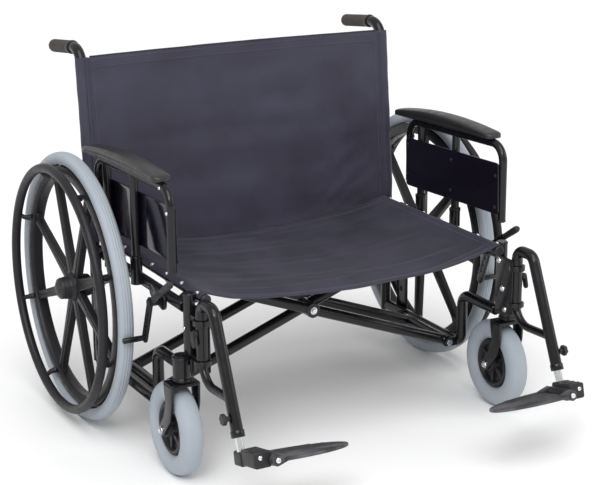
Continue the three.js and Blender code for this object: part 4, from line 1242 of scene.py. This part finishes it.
def seat_point(across, y):
    """The sling at rest: across runs along the cloth, and past the span it wraps the rail."""
    side = math.copysign(1, across)
    beyond = abs(across) - SEAT_SPAN
    if beyond > 0:
        angle = SEAT_LEAVES + beyond / SEAT_WRAP
        out = RAIL_X + SEAT_WRAP * math.sin(angle)
        return at(side * out, y, RAIL_Z + SEAT_WRAP * math.cos(angle))
    reach = abs(across) / SEAT_SPAN
    free = 1 - reach ** 4
    z = SEAT_EDGE_Z - SEAT_SAG * (1 - reach ** 2.15)
    front = math.exp(-((y - RAIL_FRONT) / 170) ** 2)
    rear = math.exp(-((y - RAIL_BACK) / 120) ** 2)
    z += free * REAR_LIFT * rear
    z += free * (6 * front + 5) * folds(across + 0.6 * y, y, 260, 30, 3.1)
    z += free * 3.6 * folds(across, y + 0.35 * across, 130, 60, 7.7)
    pucker = math.exp(-((reach - 0.93) / 0.06) ** 2)
    z += 1.5 * pucker * math.cos(2 * math.pi * (y - FIRST_SCREW) / SCREW_PITCH)
    z += HEM_RISE * in_hem(min(y - RAIL_FRONT, RAIL_BACK - y)) * free
    return at(across, y, z)


def seat_sling():
    edge = SEAT_SPAN + SEAT_WRAP * (SEAT_TURN - SEAT_LEAVES)
    wrapped = list(np.linspace(SEAT_SPAN, edge, 6)[1:])
    columns = [-x for x in reversed(wrapped)] + list(np.linspace(-SEAT_SPAN, SEAT_SPAN, 81)) + wrapped
    front, back = RAIL_FRONT + 1, RAIL_BACK - 1
    hems = [front, front + 8, front + 18, front + 27, front + 29.5]
    rows = hems + list(np.linspace(front + 36, back - 36, 46)) + [front + back - y for y in reversed(hems)]
    piece = cloth_grid("seat_sling", columns, rows, seat_point, SEAT_CLOTH)
    held = SEAT_SPAN * MM
    pinned = [vertex.index for vertex in piece.data.vertices if abs(vertex.co.x) > held - 0.001]
    drape(piece, pinned, 24, 0.006, 1.0)
    thickened(piece, 0.0034)
    return piece


def face_of(piece, direction):
    """A function that moves a point along a direction onto a piece, and gives the normal there."""
    cloth = piece.evaluated_get(bpy.context.evaluated_depsgraph_get())

    def onto(start):
        hit, place, normal, _ = cloth.ray_cast(start, direction)
        return (place, normal) if hit else (start, -direction)

    return onto


def add_stitch(bm, start, end, normal, radius=0.0006):
    """One stitch: a short arch of thread between two points on the cloth."""
    middle = (start + end) / 2 + normal * radius * 1.1
    rise = normal * radius * 0.5
    path = [start, (start + middle) / 2 + rise, middle, (end + middle) / 2 + rise, end]
    add_sweep(bm, path, [radius] * len(path), 6)


def seam(bm, placed, stitch=5, gap=2.4):
    """Stitches along a line of points, each given with its normal; stitch and gap are in millimetres."""
    points, normals = zip(*placed)
    travelled = 0.0
    lengths = [0.0]
    for a, b in zip(points, points[1:]):
        travelled += (b - a).length
        lengths.append(travelled)

    def along(distance):
        index = min(max(int(np.searchsorted(lengths, distance)) - 1, 0), len(points) - 2)
        part = (distance - lengths[index]) / max(lengths[index + 1] - lengths[index], 1e-9)
        return points[index].lerp(points[index + 1], part), normals[index]

    distance = 0.0
    while distance + stitch * MM < travelled:
        start, normal = along(distance)
        end, _ = along(distance + stitch * MM)
        add_stitch(bm, start, end, normal)
        distance += (stitch + gap) * MM


def seat_seams(seat):
    """Two rows of stitching on the front hem, one on the back hem and one beside each rail."""
    onto = face_of(seat, -UP)
    bm = bmesh.new()
    for y in (RAIL_FRONT + 8, RAIL_FRONT + SEAT_HEM - 4, RAIL_BACK - SEAT_HEM + 4):
        seam(bm, [onto(at(x, y, ABOVE)) for x in np.linspace(-SEAT_SPAN + 16, SEAT_SPAN - 16, 90)])
    for x in (-SEAT_SPAN + 14, SEAT_SPAN - 14):
        seam(bm, [onto(at(x, y, ABOVE)) for y in np.linspace(RAIL_FRONT + 6, RAIL_BACK - 6, 60)])
    return finished("seat_stitching", bm, THREAD)


seat = seat_sling()
stitching = seat_seams(seat)
for piece in (seat, stitching):
    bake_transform(piece)
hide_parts("left_seat_half", "right_seat_half")


def seat_screws(bm):
    """The screws that hold the sling down on the outer shoulder of one rail, each in a cup washer."""
    angle = math.radians(38)
    outward = Vector((math.sin(angle), 0, math.cos(angle)))
    for i in range(7):
        spot = at(RAIL_X, FIRST_SCREW + i * SCREW_PITCH, RAIL_Z) + outward * (SEAT_WRAP + 1.4) * MM
        add_lathe(bm, [(0, 0), (5, 0), (4.5, 1.1), (3.6, 1.4), (0, 1.4)], spot, outward, segments=24)
        add_screw_head(bm, spot + outward * 1.1 * MM, outward, 3.4, 1.8)


make_pair("seat_screws", seat_screws, "rail_brace", CHROME)

BACK_SPAN = 374  # half the width of the flat part, out to the seams
LAP_RADIUS = 16.0  # radius of the middle of the cloth where it laps round a cane
LAP_EDGE = 387
SLEEVE_BOTTOM = 388
TOP_HEM = 26
AHEAD = -400  # a place well in front of the back, to look rearward from


def cane_y(z):
    """Where the cane's centre line is at a height, in millimetres."""
    lean = (CANE_TOP[0] - CANE_KNEE[0]) / (CANE_TOP[1] - CANE_KNEE[1])
    return CANE_KNEE[0] + lean * max(0, z - CANE_KNEE[1])


def back_point(x, z):
    """The back sling at rest: bowed back between the canes, dented at the seams, lapped round the canes."""
    if z < SLEEVE_BOTTOM + 8:
        x = math.copysign(min(abs(x), BACK_SPAN + 1), x)
    side = abs(x)
    if side > BACK_SPAN + 2:
        return at(x, cane_y(z) - math.sqrt(LAP_RADIUS ** 2 - (FRAME_X - side) ** 2), z)
    reach = side / BACK_SPAN
    free = 1 - reach ** 4
    y = cane_y(z) - 7.5 + 17 * (1 - reach ** 2)
    y += free * 3.2 * folds(x, z, 60, 260, 1.3)
    y += free * 2.6 * folds(x, z, 240, 45, 5.9)
    pucker = math.exp(-((side - BACK_SPAN + 18) / 14) ** 2)
    y += 1.1 * pucker * math.sin(z / 13)
    low = math.exp(-((z - BACK_BOTTOM) / 60) ** 2)
    y += free * 2.4 * low * folds(x, z, 70, 90, 9.2)
    corner = math.exp(-((BACK_SPAN - side) / 150) ** 2 - ((z - 440) / 100) ** 2)
    y += free * 8 * corner * folds(z - 0.8 * side, z + 0.8 * side, 24, 150, 4.4)
    y -= HEM_RISE * (BACK_TOP - z < TOP_HEM)
    crown = 4 * (1 - reach ** 2) * max(0, (z - BACK_BOTTOM) / (BACK_TOP - BACK_BOTTOM)) ** 3
    return at(x, y, z + crown)


def back_sling():
    lap = list(np.linspace(BACK_SPAN + 2.2, LAP_EDGE, 5))
    columns = [-x for x in reversed(lap)] + list(np.linspace(-BACK_SPAN, BACK_SPAN, 81)) + lap
    rows = list(np.linspace(BACK_BOTTOM + 1, BACK_TOP - TOP_HEM - 2, 46))
    rows += list(np.linspace(BACK_TOP - TOP_HEM + 0.5, BACK_TOP, 5))
    piece = cloth_grid("back_sling", columns, rows, back_point, BACK_CLOTH)
    held = (BACK_SPAN - 2) * MM
    pinned = [vertex.index for vertex in piece.data.vertices if abs(vertex.co.x) > held]
    drape(piece, pinned, 20, 0.005, 0.6)
    thickened(piece, 0.0030)
    return piece


def back_seams(back):
    """Rows of stitching beside each sleeve and along the top and bottom hems."""
    onto = face_of(back, REARWARD)
    bm = bmesh.new()
    for x in (-BACK_SPAN + 7, BACK_SPAN - 7):
        seam(bm, [onto(at(x, AHEAD, z)) for z in np.linspace(BACK_BOTTOM + 6, BACK_TOP - 6, 90)])
    for z in (BACK_TOP - TOP_HEM + 4, BACK_TOP - 6, BACK_BOTTOM + 14):
        seam(bm, [onto(at(x, AHEAD, z)) for x in np.linspace(-BACK_SPAN + 12, BACK_SPAN - 12, 100)])
    return finished("back_stitching", bm, THREAD)


def back_piping(back):
    """A cord bound into the back's top edge."""
    onto = face_of(back, REARWARD)
    bm = bmesh.new()
    path = []
    for x in np.linspace(-BACK_SPAN + 1, BACK_SPAN - 1, 70):
        place, _ = onto(at(x, AHEAD, BACK_TOP - 1))
        path.append(place + Vector((0, 1.5, 2.2)) * MM)
    add_sweep(bm, path, [1.9 * MM] * len(path), 12)
    return finished("back_piping", bm, BINDING)


def cane_sleeve(bm):
    """The pocket of cloth that wraps one cane, from the side tube up to the top hem."""
    heights = np.linspace(SLEEVE_BOTTOM, BACK_TOP - 1, 48)
    path = [at(FRAME_X, cane_y(z), z) for z in heights]
    radii = [(TUBE + 2.1 + 0.3 * math.sin(z / 23) + 0.25 * math.sin(z / 9.5)) * MM for z in heights]
    add_sweep(bm, path, radii, 32)


back = back_sling()
back_stitching = back_seams(back)
piping = back_piping(back)
for piece in (back, back_stitching, piping):
    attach(piece, "right_frame")
    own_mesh(piece)
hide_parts("left_back_half", "right_back_half")
sleeves = make_pair("cane_sleeve", cane_sleeve, "frame", BACK_CLOTH)

# ------------------------------------------------------------------ stage, light and camera

FLOOR_SIZE = 60.0
FLOOR_GAP = 0.0004  # keeps the floor just under the wheels


def floor():
    mesh = bpy.data.meshes.new("floor")
    half = FLOOR_SIZE / 2
    corners = [(-half, -half, 0), (half, -half, 0), (half, half, 0), (-half, half, 0)]
    mesh.from_pydata(corners, [], [(0, 1, 2, 3)])
    piece = linked("floor", mesh)
    piece.location.z = -FLOOR_GAP
    recipe = Recipe("pale_floor", Roughness=0.7)
    recipe.shader.inputs["Base Color"].default_value = (0.93, 0.93, 0.93, 1)
    mesh.materials.append(recipe.material)


def area_light(name, place, target, size, power):
    data = bpy.data.lights.new(name, "AREA")
    data.shape = "RECTANGLE"
    data.size, data.size_y = size
    data.energy = power
    lamp = linked(name, data)
    lamp.location = place
    lamp.rotation_euler = (Vector(target) - Vector(place)).to_track_quat("-Z", "Y").to_euler()


def studio():
    world = bpy.data.worlds.new("studio")
    world.use_nodes = True
    background = world.node_tree.nodes["Background"]
    background.inputs["Color"].default_value = (1, 1, 1, 1)
    background.inputs["Strength"].default_value = 0.68
    bpy.context.scene.world = world
    sun = bpy.data.lights.new("sun", "SUN")
    sun.energy = 1.65
    sun.angle = math.radians(50)
    lamp = linked("sun", sun)
    lamp.rotation_euler = (math.radians(28), math.radians(-14), 0)
    area_light("key", (-2.6, -3.2, 3.4), (0, 0, 0.4), (1.3, 1.3), 50)
    area_light("fill", (3.4, -2.4, 2.2), (0, 0, 0.4), (1.4, 2.0), 22)


CAMERA_PLACE = Vector((-1.7303, AXLE_Y - 3.4236, 1.4480))
CAMERA_HEADING = math.radians(28.323)
CAMERA_PITCH = math.radians(16.091)
CAMERA_ROLL = math.radians(-0.293)
CAMERA_LENS = 100.92


def camera():
    data = bpy.data.cameras.new("camera")
    data.lens = CAMERA_LENS
    data.sensor_width = 36
    piece = linked("camera", data)
    level = math.cos(CAMERA_PITCH)
    sine, cosine = math.sin(CAMERA_HEADING), math.cos(CAMERA_HEADING)
    forward = Vector((sine * level, cosine * level, -math.sin(CAMERA_PITCH)))
    right = Vector((cosine, -sine, 0))
    up = right.cross(forward)
    rolled_right = right * math.cos(CAMERA_ROLL) + up * math.sin(CAMERA_ROLL)
    rolled_up = rolled_right.cross(forward)
    turn = Matrix((rolled_right, rolled_up, -forward)).transposed().to_4x4()
    piece.matrix_world = Matrix.Translation(CAMERA_PLACE) @ turn
    bpy.context.scene.camera = piece


floor()
studio()
camera()
bpy.context.scene.view_settings.view_transform = "Standard"
